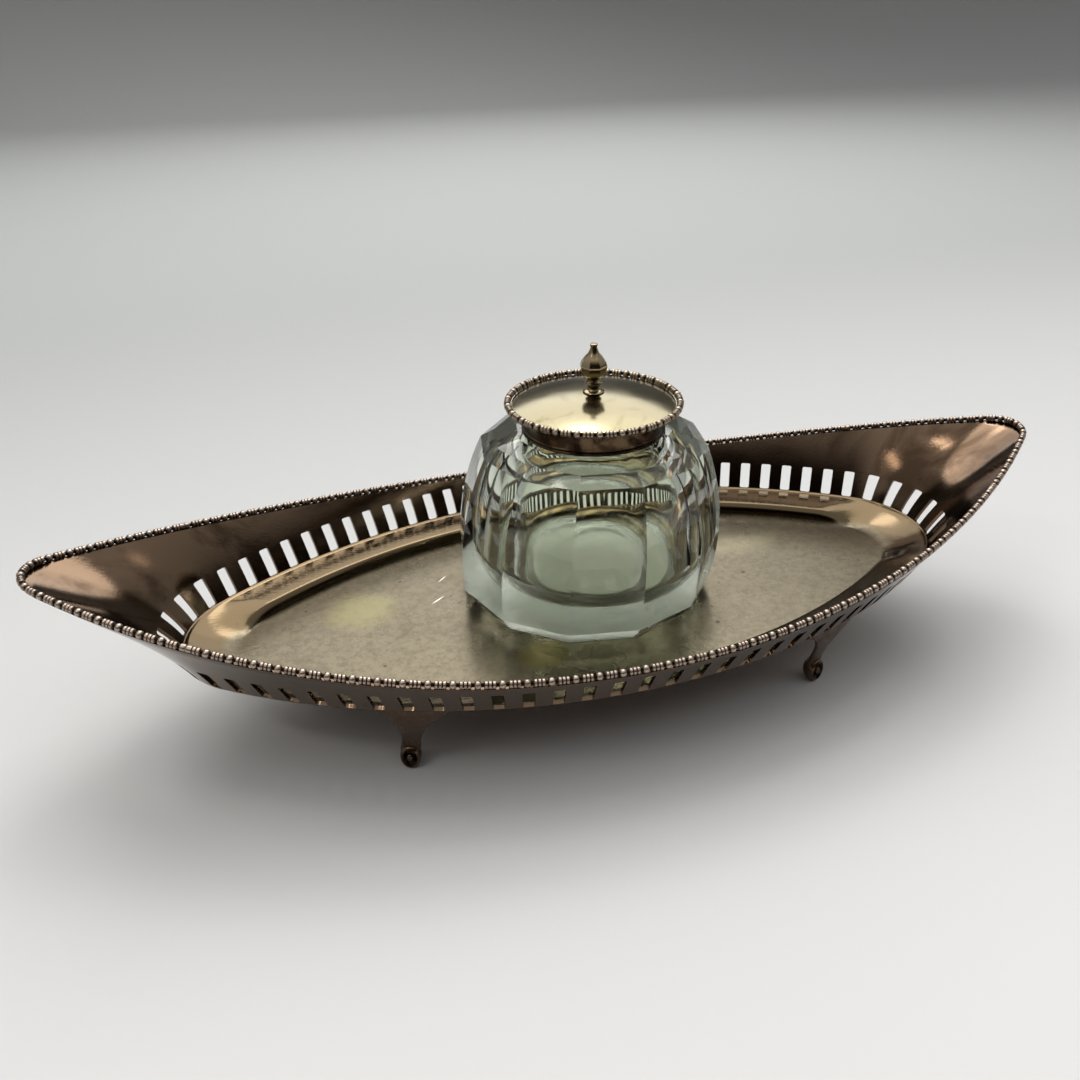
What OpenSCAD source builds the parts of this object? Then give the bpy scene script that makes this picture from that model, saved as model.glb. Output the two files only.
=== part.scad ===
// Desk inkstand: a pierced boat-shaped tray on four feet with a mounted glass ink bottle.
// Origin: on the table under the middle of the tray. X runs along the tray, Z is up.

/* [Tray plan] */
// Half length of the rim, to its outline
rim_half_l = 126; // [118:0.5:140]
// Half width of the rim, to its outline
rim_half_w = 51.4; // [50:0.2:60]
// Radius of the rim round each nose
rim_nose_r = 9; // [5:0.5:14]
// Reach of each nose past the base line, where the pierced wall starts
nose_reach = 27.7; // [22:0.1:34]
// Spread of the wall in the middle of a long side
wall_spread = 4.6; // [3:0.1:6]
// Radius of the base line round each end
base_end_r = 22; // [16:0.5:28]
// Width of the ledge and step between the floor and the wall, at each end
ledge_end_w = 11.9; // [10:0.1:14]
// Width of the ledge and step in the middle of a long side
ledge_side_w = 9; // [7:0.1:10]
// Radius of the flat floor round each end
floor_end_r = 15; // [12:0.5:20]
// Share of the way from the middle of a side to a nose at which the step starts to fade
step_fade_at = 0.8; // [0.7:0.01:0.84]

/* [Tray heights] */
// Height of the tray floor above the table
floor_z = 18.5; // [16:0.1:22]
// Rise of the step round the floor
step_rise = 2.8; // [2:0.1:3.2]
// Rise of the ledge from the step to the base line
ledge_rise = 1.2; // [0.6:0.1:2]
// Height of the wall above the base line, in the middle of a long side
wall_rise = 8.1; // [7.6:0.1:14]
// Extra height of the wall at each nose
nose_rise = 16.6; // [8:0.2:24]
// How sharply the rim sweeps up towards the noses
sweep_power = 2.1; // [1.5:0.1:3]
// Outward lean of the pierced wall, as a slope
wall_lean = 0.5; // [0.3:0.05:0.6]
// Thickness of the tray sheet
sheet = 0.9; // [0.7:0.1:1.2]

/* [Piercing] */
// Number of slots round the tray, a multiple of four
slot_count = 76; // [64:4:84]
// Width of a slot as a share of its pitch
slot_share = 0.43; // [0.3:0.01:0.55]
// Height of a slot
slot_h = 6.4; // [4:0.1:7]
// Plain strip between the base line and the slots
slot_gap = 0.25; // [0.2:0.05:1]
// Share of a pitch by which the hand-cut slots slip to each side of an even row
slot_slip = 0.36; // [0:0.02:0.4]

/* [Border wire] */
// Radius of the wire on the tray rim
wire_r = 0.95; // [0.7:0.05:1.3]
// Slot pitches from the middle of a long side to each joint in the wire
wire_joint_at = 15; // [11:1:16]

/* [Feet] */
// Slot pitches from the middle of a long side to a foot
foot_at = 8.5; // [6:0.5:11]
// Width of the fan where a foot joins the tray
fan_w = 18.6; // [14:0.2:22]
// Width of the ankle
ankle_w = 4.9; // [3.5:0.1:6]
// Thickness of the strap of a foot
strap_t = 1.4; // [1:0.1:2]
// How far the toe stands in from the base line
toe_in = 7.1; // [5:0.1:11]
// How far each toe stands towards the tray's nearer end
toe_side = 3.1; // [0:0.1:4]
// Radius of the toe
toe_r = 2.45; // [2:0.05:3.2]
// Height of the toe
toe_h = 6.6; // [5:0.2:8]
// Radius of the flat under the toe
toe_flat_r = 1.1; // [0.8:0.1:1.5]

/* [Bottle glass] */
// Place of the bottle along the tray
bottle_x = 2.6; // [0:0.1:6]
// Gap between the bottle's foot and the back edge of the floor
bottle_gap = 1; // [0.9:0.1:5]
// How far the hand-blown bottle leans sideways at its neck
lean = 2.4; // [0:0.1:2.6]
// Number of cut panels round the bottle
panels = 12; // [10:1:16]
// Turn of the panels about the bottle's axis
panel_turn = 4.5; // [0:0.5:30]
// Corner radius of the body at its widest
body_r = 33.6; // [31:0.2:34]
// Height of the widest place above the bottle's base
body_wide_at = 13.6; // [10:0.2:18]
// Radius of the bow of the body's side
body_bow_r = 62.5; // [56:0.5:90]
// Height of the cut shoulder edge above the bottle's base
shoulder_at = 39; // [36:0.2:40.6]
// Corner radius of the foot of the bottle
glass_base_r = 30.4; // [28:0.2:31]
// Height of the chamfer round the bottle's foot
glass_base_h = 3.6; // [3:0.1:5]
// Height of the glass under the collar, above the bottle's base
glass_top_at = 42.4; // [41:0.1:44]
// Corner radius where the shoulder meets the collar
glass_top_r = 19.2; // [18.8:0.1:21]
// Radius of the glass neck
neck_r = 15; // [14:0.1:15.4]
// Height of the glass neck above the shoulder
neck_h = 5.1; // [4:0.1:6]
// Radius of the mouth
mouth_r = 11; // [10:0.1:11.4]
// Thickness of the bottle's base under the ink
glass_floor = 5.2; // [4:0.1:7]
// Radius of the ink well
well_r = 22.5; // [18:0.5:24]
// Rounding of the ink well at its bottom
well_round = 7; // [4:0.5:9]
// Height of the ink well's straight side
well_side = 7; // [4:0.5:12]

/* [Collar] */
// Outer radius of the collar
collar_r = 17.2; // [16.8:0.1:18]
// Thickness of the collar's sheet
collar_t = 0.8; // [0.6:0.1:1]
// Gap between the collar and the neighbouring glass or plaster
bed_gap = 0.05; // [0.02:0.01:0.1]
// Radius of the rolled foot of the collar
collar_roll_r = 0.45; // [0.3:0.05:0.6]

/* [Lid] */
// Gap between the lid and the collar when it is shut
lid_gap = 0.1; // [0.05:0.05:0.3]
// Radius of the lid's dome
dome_r = 19.85; // [19:0.05:20.5]
// Rise of the dome in its middle
dome_rise = 2.7; // [2.2:0.1:4]
// Thickness of the lid's sheet
lid_t = 0.6; // [0.5:0.1:0.8]
// Radius of the border wire round the lid
lid_wire_r = 0.95; // [0.7:0.05:1]
// Radial clearance of the lid's bezel in the collar
bezel_clear = 0.4; // [0.3:0.05:0.6]
// Depth of the bezel below the lid
bezel_h = 2.6; // [1.6:0.1:3.4]

/* [Hinge] */
// Radius of the hinge knuckles
knuckle_r = 1.1; // [0.95:0.05:1.15]
// Radius of the hinge pin
pin_r = 0.55; // [0.4:0.05:0.6]
// Running clearance between the pin and a knuckle
pin_fit = 0.05; // [0.02:0.01:0.1]
// Length of the lid's middle knuckle
mid_knuckle_l = 3.8; // [3:0.1:5]
// Length of each collar knuckle
end_knuckle_l = 3.2; // [2.4:0.1:4]
// End gap between neighbouring knuckles
knuckle_gap = 0.15; // [0.1:0.05:0.3]
// Gap between a knuckle and the collar's side
knuckle_off = 0.2; // [0.15:0.05:0.3]
// Height of the hinge leaf on the collar
leaf_h = 3; // [2:0.1:3.4]
// Thickness of the hinge leaf
leaf_t = 0.6; // [0.4:0.05:0.8]

/* [Finial] */
// Radius of the finial's bulb
bulb_r = 3.4; // [2.8:0.1:4]
// Height of the finial above the lid
finial_h = 11.8; // [10:0.2:14]
// Radius of the finial's foot
finial_foot_r = 2.6; // [2.2:0.1:3.2]
// Radius of the finial's stud
stud_r = 0.9; // [0.7:0.05:1.1]
// Width of the finial's nut across its corners
nut_w = 4.4; // [3.8:0.1:5]
// Thickness of the finial's nut
nut_h = 1; // [0.8:0.1:1.2]
// Radius of the washer under the dome
washer_r = 2.8; // [2.6:0.1:3.2]
// Thickness of the washer
washer_h = 0.4; // [0.3:0.05:0.5]

/* [Hidden] */
$fn = 96;

// A plan outline is [half length, half width, end radius]: two side arcs and two end arcs.
rim_line = [rim_half_l, rim_half_w, rim_nose_r];
base_line = [rim_half_l - nose_reach, rim_half_w - wall_spread, base_end_r];
floor_line = [base_line[0] - ledge_end_w, base_line[1] - ledge_side_w, floor_end_r];

function side_r(o) = (pow(o[0] - o[2], 2) + pow(o[1] - o[2], 2)) / (2 * (o[1] - o[2])) + o[2];
function end_turn(o) = asin((o[0] - o[2]) / (side_r(o) - o[2]));
function side_len(o) = side_r(o) * end_turn(o) * PI / 180;
function quarter_len(o) = side_len(o) + o[2] * (90 - end_turn(o)) * PI / 180;
function turn_at(o, s) =
    s <= side_len(o) ? s / side_r(o) * 180 / PI : end_turn(o) + (s - side_len(o)) / o[2] * 180 / PI;
function out_dir(a) = [sin(a), cos(a)];
function plan_pt(o, s) =
    let (a = turn_at(o, s))
    s <= side_len(o)
        ? side_r(o) * out_dir(a) - [0, side_r(o) - o[1]]
        : o[2] * out_dir(a) + [o[0] - o[2], 0];

// The wall leaves the end of the base line's side arc squarely and meets the rim here.
base_corner = plan_pt(base_line, side_len(base_line));
base_corner_dir = out_dir(end_turn(base_line));
to_corner = base_corner + [0, side_r(rim_line) - rim_half_w];
corner_run = -to_corner * base_corner_dir
    + sqrt(pow(to_corner * base_corner_dir, 2) - to_corner * to_corner + pow(side_r(rim_line), 2));
rim_corner = to_corner + corner_run * base_corner_dir;
rim_side_len = side_r(rim_line) * atan2(rim_corner[0], rim_corner[1]) * PI / 180;

function rim_s(s) =
    let (side = side_len(base_line), quarter = quarter_len(base_line))
    s <= side
        ? s / side * rim_side_len
        : rim_side_len + (s - side) / (quarter - side) * (quarter_len(rim_line) - rim_side_len);

// Heights.
base_rise = step_rise + ledge_rise;
base_z = floor_z + base_rise;
function rim_z(x) = base_z + wall_rise + nose_rise * pow(abs(x) / rim_half_l, sweep_power);

// Stations run clockwise from the middle of the back, in slot pitches.
quarter_slots = slot_count / 4;
function station_quarter(k) = floor(k / quarter_slots) % 4;
function station_share(k) =
    let (q = k / quarter_slots, part = q - floor(q))
    station_quarter(k) % 2 == 0 ? part : 1 - part;
function side_sign(k) = [station_quarter(k) < 2 ? 1 : -1, station_quarter(k) % 3 == 0 ? 1 : -1];
function signed(p, k) = [p[0] * side_sign(k)[0], p[1] * side_sign(k)[1]];
function on_line(o, s, k) = signed(plan_pt(o, s), k);
function line_dir(o, s, k) = signed(out_dir(turn_at(o, s)), k);

// One section of the tray's inner face, from the floor's edge to the rim. Along a side a step
// leads up to the ledge, and at a nose both have faded into one hollow slope. Each point is a
// share of the width from the floor to the base line and a height above the floor.
side_steps = [[0, 0], [0.05, 0.6 * step_rise], [0.16, step_rise]];
nose_steps = [[0, 0], [0.3, 0.14 * base_rise], [0.65, 0.5 * base_rise]];
step_fade = 0.15;
function ease(t) = t * t * (3 - 2 * t);
function nose_share(share) = ease(min(max((share - step_fade_at) / step_fade, 0), 1));
wall_steps = [1 / 3, 2 / 3];
function step_pt(f, c, step) = concat(f + (c - f) * step[0], floor_z + step[1]);
function wall_pt(c, dir, r, top, t) =
    let (rise = top - base_z, mid = c + dir * wall_lean * rise / 2)
    let (xy = pow(1 - t, 2) * c + 2 * t * (1 - t) * mid + t * t * r)
    [xy[0], xy[1], base_z + rise * t];
function section(k) =
    let (share = station_share(k), s = share * quarter_len(base_line))
    let (f = on_line(floor_line, share * quarter_len(floor_line), k), c = on_line(base_line, s, k))
    let (r = on_line(rim_line, rim_s(s), k), dir = line_dir(base_line, s, k))
    let (top = rim_z(r[0]), rise = top - base_z)
    let (low = slot_gap / rise, high = (slot_gap + slot_h) / rise)
    let (nose = nose_share(share), steps = side_steps * (1 - nose) + nose_steps * nose)
    concat([for (step = steps) step_pt(f, c, step)], [concat(c, base_z)],
           [wall_pt(c, dir, r, top, low), wall_pt(c, dir, r, top, high)],
           [for (u = wall_steps) wall_pt(c, dir, r, top, high + (1 - high) * u)],
           [[r[0], r[1], top]]);

function unit(v) = v / norm(v);
slot_row = len(side_steps) + 1;
rows = slot_row + len(wall_steps) + 3;

// The outer face lies one sheet thickness outside the inner face.
function outer_pt(near, far, here, r) =
    r == 0 ? floor_corner(here[0], here[1])
    : r == rows - 1 ? here[r] + sheet * unit(flat_out(near[r], far[r]))
    : here[r] + sheet * unit(cross(here[r + 1] - here[r - 1], far[r] - near[r]));
function floor_corner(p, next) =
    let (run = [next[0] - p[0], next[1] - p[1]], turn = atan2(next[2] - p[2], norm(run)))
    p + sheet * concat(tan(turn / 2) * unit(run), -1);
function flat_out(near, far) = [near[1] - far[1], far[0] - near[0], 0];

slip_turn = 36;
function slipped(k) = k - slot_slip * (1 - cos(360 * k / slot_count + slip_turn));
stations = [for (k = [0:slot_count - 1], u = [-slot_share / 2, slot_share / 2, 0.5])
            (slipped(k) + u + slot_count) % slot_count];
column_count = len(stations);
inner_face = [for (k = stations) section(k)];
function inner_column(i) = inner_face[(i + column_count) % column_count];
outer_face = [for (i = [0:column_count - 1])
    [for (r = [0:rows - 1]) outer_pt(inner_column(i - 1), inner_column(i + 1), inner_face[i], r)]];

function inner_id(i, r) = (i % column_count) * rows + r;
function outer_id(i, r) = column_count * rows + inner_id(i, r);
function is_slot(i, r) = i % 3 == 0 && r == slot_row;

module tray_body() {
    floor_ids = [column_count * rows * 2, column_count * rows * 2 + 1];
    points = concat([for (c = inner_face, p = c) p], [for (c = outer_face, p = c) p],
                    [[0, 0, floor_z], [0, 0, floor_z - sheet]]);
    skin = [for (i = [0:column_count - 1], r = [0:rows - 2]) if (!is_slot(i, r))
        each [[inner_id(i, r), inner_id(i, r + 1), inner_id(i + 1, r + 1), inner_id(i + 1, r)],
              [outer_id(i, r), outer_id(i + 1, r), outer_id(i + 1, r + 1), outer_id(i, r + 1)]]];
    edges = [for (i = [0:column_count - 1]) let (top = rows - 1)
        each [[inner_id(i, top), outer_id(i, top), outer_id(i + 1, top), inner_id(i + 1, top)],
              [floor_ids[0], inner_id(i, 0), inner_id(i + 1, 0)],
              [floor_ids[1], outer_id(i + 1, 0), outer_id(i, 0)]]];
    slots = [for (i = [0:3:column_count - 1]) let (low = slot_row, top = slot_row + 1)
        each [[inner_id(i, low), outer_id(i, low), outer_id(i + 1, low), inner_id(i + 1, low)],
              [inner_id(i, top), inner_id(i + 1, top), outer_id(i + 1, top), outer_id(i, top)],
              [inner_id(i, low), inner_id(i, top), outer_id(i, top), outer_id(i, low)],
              [inner_id(i + 1, low), outer_id(i + 1, low), outer_id(i + 1, top), inner_id(i + 1, top)]]];
    color("darkkhaki") polyhedron(points, concat(skin, edges, slots));
}

// Border wire: eight-sided bar on top of the sheet's edge, soldered on in four lengths.
wire_sides = 8;
wire_turn = 360 / wire_sides;
wire_flat = wire_r * cos(wire_turn / 2);
function rim_pt(i) = inner_column(i)[rows - 1];
function wire_ring(i) =
    let (out = unit(flat_out(rim_pt(i - 1), rim_pt(i + 1))))
    let (axis = rim_pt(i) + out * sheet / 2 + [0, 0, bed_gap + wire_flat])
    [for (n = [0:wire_sides - 1]) let (a = (n + 0.5) * wire_turn)
        axis + wire_r * (cos(a) * out + [0, 0, sin(a)])];
module rim_wire(first, last) {
    rings = [for (i = [first:last]) each wire_ring(i)];
    count = last - first + 1;
    sides = [for (i = [0:count - 2], n = [0:wire_sides - 1])
        let (here = i * wire_sides, there = here + wire_sides, next = (n + 1) % wire_sides)
        [here + n, there + n, there + next, here + next]];
    caps = [[for (n = [0:wire_sides - 1]) n],
            [for (n = [wire_sides - 1:-1:0]) (count - 1) * wire_sides + n]];
    color("wheat") polyhedron(rings, concat(sides, caps));
}
side_columns = 3 * wire_joint_at + 2;
half_columns = column_count / 2;
module rim_wire_back() rim_wire(1 - side_columns, side_columns);
module rim_wire_right() rim_wire(side_columns, half_columns + 1 - side_columns);
module rim_wire_front() rim_wire(half_columns + 1 - side_columns, half_columns + side_columns);
module rim_wire_left() rim_wire(half_columns + side_columns, column_count + 1 - side_columns);

// Feet: a strap with a fan top, soldered under the ledge, and a rounded toe.
foot_s = foot_at * quarter_len(base_line) / quarter_slots;
foot_turn = turn_at(base_line, foot_s);
foot_out = out_dir(foot_turn);
function across(p) = [([p[0], p[1]] - plan_pt(base_line, foot_s)) * foot_out, p[2]];
function under_ledge(r) =
    across(outer_pt(section(foot_at - 0.2), section(foot_at + 0.2), section(foot_at), r));
ledge_edge = under_ledge(slot_row - 1);
ledge_dir = unit(ledge_edge - under_ledge(slot_row - 2));
seat = ledge_edge + bed_gap * [ledge_dir[1], -ledge_dir[0]];
strap_top_in = seat - ledge_dir * strap_t * 1.3;
strap_foot_z = toe_h * 0.7;
strap_steps = [0:0.125:1];
function strap_y(t, top) = -toe_in + (top + toe_in) * (0.35 * ease(t) + 0.65 * t);
function strap_z(t, top) = strap_foot_z + (top - strap_foot_z) * t;
function fan_half(t) = ankle_w / 2 + (fan_w - ankle_w) / 2 * pow(t, 3.5);
module strap_side() polygon(concat(
    [for (t = strap_steps) [strap_y(t, seat[0]) + (1 - t) * strap_t / 2, strap_z(t, seat[1])]],
    [for (u = strap_steps) let (t = 1 - u)
        [strap_y(t, strap_top_in[0]) - u * strap_t / 2, strap_z(t, strap_top_in[1])]]));
module strap_front(side) polygon(concat(
    [for (t = strap_steps) [side * (1 - t) + fan_half(t), strap_z(t, seat[1])]],
    [for (u = strap_steps) let (t = 1 - u) [side * u - fan_half(t), strap_z(t, seat[1])]]));
module toe() rotate_extrude() polygon(concat(
    [[0, 0], [toe_flat_r, 0]],
    [for (a = [-60:15:75]) [toe_r * cos(a), toe_h / 2 + toe_h / 2 * sin(a)]],
    [[0, toe_h]]));
module foot(x_sign, y_sign) {
    turn = y_sign > 0 ? -x_sign * foot_turn : 180 + x_sign * foot_turn;
    place = plan_pt(base_line, foot_s);
    side = x_sign * y_sign * toe_side;
    color("saddlebrown") translate([x_sign * place[0], y_sign * place[1], 0])
    rotate([0, 0, turn]) union() {
        intersection() {
            rotate([90, 0, 90]) linear_extrude(fan_w + 2, center = true) strap_side();
            rotate([90, 0, 0]) linear_extrude(4 * toe_in, center = true) strap_front(side);
        }
        translate([side, -toe_in, 0]) toe();
    }
}
module foot_front_left() foot(-1, -1);
module foot_front_right() foot(1, -1);
module foot_back_left() foot(-1, 1);
module foot_back_right() foot(1, 1);

// Bottle: panelled outside, round neck and ink well inside.
bottle_y = floor_line[1] - bottle_gap - glass_base_r;
bottle_z = floor_z + bed_gap;
function body_side_r(z) = body_r - body_bow_r + sqrt(pow(body_bow_r, 2) - pow(z - body_wide_at, 2));
shoulder_r = body_side_r(shoulder_at);
glass_rings = concat(
    [[glass_base_r, 0]],
    [for (t = [0:0.125:1]) let (z = glass_base_h + (shoulder_at - glass_base_h) * t)
        [body_side_r(z), z]],
    [[(shoulder_r * 0.6 + glass_top_r * 0.4), shoulder_at + (glass_top_at - shoulder_at) * 0.62],
     [glass_top_r, glass_top_at]]);
glass_h = glass_top_at + neck_h;
neck_x = bottle_x + lean;
module panelled_body() {
    ring_count = len(glass_rings);
    points = [for (g = glass_rings, p = [0:panels - 1]) let (a = panel_turn + p * 360 / panels)
        [g[0] * cos(a) + lean * g[1] / glass_top_at, g[0] * sin(a), g[1]]];
    sides = [for (g = [0:ring_count - 2], p = [0:panels - 1])
        let (here = g * panels, there = here + panels, next = (p + 1) % panels)
        [here + p, there + p, there + next, here + next]];
    ends = [[for (p = [0:panels - 1]) p], [for (p = [panels - 1:-1:0]) (ring_count - 1) * panels + p]];
    polyhedron(points, concat(sides, ends));
}
well_top = glass_floor + well_round + well_side;
module ink_well() translate([lean, 0, 0]) rotate_extrude() polygon(concat(
    [[0, glass_floor]],
    [for (a = [-90:15:0])
        [well_r - well_round + well_round * cos(a), glass_floor + well_round * (1 + sin(a))]],
    [for (a = [0:15:90])
        [mouth_r + (well_r - mouth_r) * cos(a), well_top + (shoulder_at - well_top) * sin(a)]],
    [[mouth_r, glass_h + 1], [0, glass_h + 1]]));
module bottle_glass() color("lightcyan") translate([bottle_x, bottle_y, bottle_z]) difference() {
    union() {
        panelled_body();
        translate([lean, 0, glass_top_at - 1]) cylinder(r = neck_r, h = neck_h + 1);
    }
    ink_well();
}

// Collar: a silver band bedded in plaster on the neck, with a flat lip round the mouth.
collar_z = bottle_z + glass_top_at + bed_gap;
collar_top = bottle_z + glass_h + bed_gap + collar_t;
module ring(r_in, r_out, z_low, z_top) translate([neck_x, bottle_y, z_low]) rotate_extrude()
    translate([r_in, 0]) square([r_out - r_in, z_top - z_low]);
module collar_plaster() color("gainsboro")
    ring(neck_r + bed_gap, collar_r - collar_t - bed_gap, collar_z, collar_top - collar_t - bed_gap);
module collar() color("rosybrown") union() {
    ring(collar_r - collar_t, collar_r, collar_z, collar_top);
    ring(mouth_r, collar_r - collar_t / 2, collar_top - collar_t, collar_top);
    translate([neck_x, bottle_y, collar_z + collar_roll_r]) rotate_extrude()
        translate([collar_r, 0]) circle(collar_roll_r);
}

// Hinge at the back of the collar, hidden under the lid's border.
hinge_y = bottle_y + collar_r + knuckle_off + knuckle_r;
lid_z = collar_top + lid_gap;
hinge_z = lid_z - knuckle_r - 0.4;
mid_half = mid_knuckle_l / 2;
end_start = mid_half + knuckle_gap;
end_stop = end_start + end_knuckle_l;
module knuckle(x_from, x_to) translate([neck_x + x_from, hinge_y, hinge_z]) rotate([0, 90, 0])
    cylinder(r = knuckle_r, h = x_to - x_from);
module pin_bore() translate([neck_x, hinge_y, hinge_z]) rotate([0, 90, 0])
    cylinder(r = pin_r + pin_fit, h = 4 * end_stop, center = true);
leaf_turn = asin(end_stop / collar_r);
module hinge_leaf() translate([neck_x, bottle_y, hinge_z - leaf_h]) rotate([0, 0, 90 - leaf_turn])
    rotate_extrude(angle = 2 * leaf_turn) translate([collar_r + bed_gap, 0]) square([leaf_t, leaf_h]);
module hinge_collar_leaf() color("tan") difference() {
    union() {
        hinge_leaf();
        knuckle(-end_stop, -end_start);
        knuckle(end_start, end_stop);
    }
    pin_bore();
    translate([neck_x, hinge_y, hinge_z]) rotate([0, 90, 0])
        cylinder(r = knuckle_r + knuckle_off, h = 2 * end_start, center = true);
}
module hinge_pin() color("silver") translate([neck_x, hinge_y, hinge_z]) rotate([0, 90, 0])
    cylinder(r = pin_r, h = 2 * end_stop, center = true);
module hinge_lid_knuckle() color("tan") difference() {
    union() {
        knuckle(-mid_half, mid_half);
        translate([neck_x - mid_half, hinge_y - knuckle_r * 0.9, hinge_z])
            cube([mid_knuckle_l, knuckle_r * 1.8, lid_z - bed_gap - hinge_z]);
    }
    pin_bore();
}

// Lid: a bezel with a flat flange, a shallow dome soldered to it and a border wire round both.
bezel_r = mouth_r - bezel_clear;
flange_top = lid_z + lid_t;
module lid_bezel() color("wheat") union() {
    ring(bezel_r - lid_t, dome_r, lid_z, flange_top);
    ring(bezel_r - lid_t, bezel_r, lid_z - bezel_h, flange_top);
}
dome_bow_r = (pow(dome_r, 2) + pow(dome_rise, 2)) / (2 * dome_rise);
dome_arc = asin(dome_r / dome_bow_r);
dome_base = flange_top + bed_gap;
dome_top = dome_base + dome_rise;
function bow_pt(r, a) = [r * sin(a), dome_rise - dome_bow_r + r * cos(a)];
module lid_dome() color("palegoldenrod") translate([neck_x, bottle_y, dome_base])
    rotate_extrude() intersection() {
        translate([stud_r + bed_gap, 0]) square([dome_r, dome_rise + 1]);
        polygon(concat(
            [for (t = [0:0.0625:1]) bow_pt(dome_bow_r, dome_arc * t)],
            [for (t = [0:0.0625:1]) bow_pt(dome_bow_r - lid_t, dome_arc * (1 - t))]));
    }
lid_wire_ring_r = dome_r + lid_wire_r + bed_gap;
module lid_border() color("wheat") translate([neck_x, bottle_y, lid_z + lid_wire_r]) rotate_extrude()
    translate([lid_wire_ring_r, 0]) circle(lid_wire_r);

// Finial: an urn on a stud through the dome, held by a washer and a nut inside the lid.
stud_below = lid_t + washer_h + nut_h + 0.5;
finial_outline = [
    [0.44, 0.11], [0.68, 0.15], [0.68, 0.2], [0.42, 0.22], [0.42, 0.25], [0.6, 0.32], [0.92, 0.45],
    [1, 0.54], [0.92, 0.62], [0.62, 0.7], [0.34, 0.76], [0.24, 0.9], [0.3, 0.96], [0.26, 1], [0, 1]];
module finial() color("darkkhaki") translate([neck_x, bottle_y, dome_top + bed_gap]) rotate_extrude()
    polygon(concat(
        [[0, -stud_below], [stud_r, -stud_below], [stud_r, 0], [finial_foot_r, 0],
         [finial_foot_r, finial_h * 0.05]],
        [for (p = finial_outline) [p[0] * bulb_r, p[1] * finial_h]]));
washer_top = dome_top - lid_t - bed_gap - 0.1;
module finial_washer() color("silver") ring(stud_r + bed_gap, washer_r, washer_top - washer_h, washer_top);
module finial_nut() color("silver") translate([neck_x, bottle_y, washer_top - washer_h - bed_gap - nut_h])
    difference() {
        cylinder(d = nut_w, h = nut_h, $fn = 6);
        translate([0, 0, -1]) cylinder(r = stud_r + bed_gap, h = nut_h + 2);
    }

tray_body();
rim_wire_front();
rim_wire_back();
rim_wire_left();
rim_wire_right();
foot_front_left();
foot_front_right();
foot_back_left();
foot_back_right();
bottle_glass();
collar_plaster();
collar();
hinge_collar_leaf();
hinge_pin();
hinge_lid_knuckle();
lid_dome();
lid_border();
lid_bezel();
finial();
finial_washer();
finial_nut();
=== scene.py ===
"""Looks of a silver desk inkstand with a cut-glass ink bottle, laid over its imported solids.

Sizes are millimetres in the same frame as the solids: origin on the table under the
middle of the tray, X along the tray, Z up. Meshes are turned to metres when they are made.
"""

import logging
import math
from dataclasses import dataclass, field
from enum import Enum

import bmesh
import bpy
import numpy as np
from mathutils import Matrix, Vector


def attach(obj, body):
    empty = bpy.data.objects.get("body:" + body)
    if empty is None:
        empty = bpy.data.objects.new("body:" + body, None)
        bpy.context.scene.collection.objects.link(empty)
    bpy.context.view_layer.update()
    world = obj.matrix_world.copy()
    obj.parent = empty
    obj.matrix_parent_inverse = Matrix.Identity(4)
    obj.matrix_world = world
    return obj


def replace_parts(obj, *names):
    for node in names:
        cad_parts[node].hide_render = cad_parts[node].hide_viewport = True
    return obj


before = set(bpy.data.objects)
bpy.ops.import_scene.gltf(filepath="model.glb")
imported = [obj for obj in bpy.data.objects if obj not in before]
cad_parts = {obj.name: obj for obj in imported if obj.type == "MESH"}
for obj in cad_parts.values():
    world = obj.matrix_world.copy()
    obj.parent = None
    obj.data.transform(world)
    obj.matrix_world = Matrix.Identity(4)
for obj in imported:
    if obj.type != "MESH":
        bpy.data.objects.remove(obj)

log = logging.getLogger("inkstand")
MM = 0.001
Colour = tuple[float, float, float, float]


# ---------------------------------------------------------------- colour and nodes


def linear(hex_colour: str) -> Colour:
    """Turn an sRGB hex colour to linear light.

    Args:
        hex_colour: six hex digits, such as "c8bfa9".

    Returns:
        Red, green and blue in linear light, and an alpha of 1.
    """
    parts = np.array([int(hex_colour[i : i + 2], 16) for i in (0, 2, 4)]) / 255
    light = np.where(parts <= 0.04045, parts / 12.92, ((parts + 0.055) / 1.055) ** 2.4)
    return (float(light[0]), float(light[1]), float(light[2]), 1.0)


def add_node(
    tree: bpy.types.NodeTree,
    kind: str,
    settings: dict[str, object] | None = None,
    sockets: dict[str | int, object] | None = None,
) -> bpy.types.Node:
    """Add one node to a tree, with its settings and links.

    Args:
        tree: the node tree.
        kind: the node's type name.
        settings: properties of the node itself.
        sockets: input name or number to a value, or to the output socket that feeds it.

    Returns:
        The new node.
    """
    node = tree.nodes.new(kind)
    for name, value in (settings or {}).items():
        setattr(node, name, value)
    for name, value in (sockets or {}).items():
        if isinstance(value, bpy.types.NodeSocket):
            tree.links.new(value, node.inputs[name])
        else:
            node.inputs[name].default_value = value
    return node


def new_material(name: str) -> tuple[bpy.types.Material, bpy.types.NodeTree]:
    """Make an empty node material.

    Args:
        name: the material's name.

    Returns:
        The material and its cleared node tree.
    """
    material = bpy.data.materials.new(name)
    material.use_nodes = True
    material.node_tree.nodes.clear()
    return material, material.node_tree


# ---------------------------------------------------------------- meshes


@dataclass
class Patch:
    """A piece of surface: points in millimetres, the quads that join them, and a value per point.

    Attributes:
        points: point coordinates, one row each.
        quads: four point numbers a row.
        depth: how deep in a groove each point lies, 0 at the top and 1 at the bottom.
        outer: 1 for points of an outer face that has a colour of its own, else 0.
    """

    points: np.ndarray
    quads: np.ndarray
    depth: np.ndarray = field(default_factory=lambda: np.zeros(0))
    outer: np.ndarray = field(default_factory=lambda: np.zeros(0))


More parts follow.
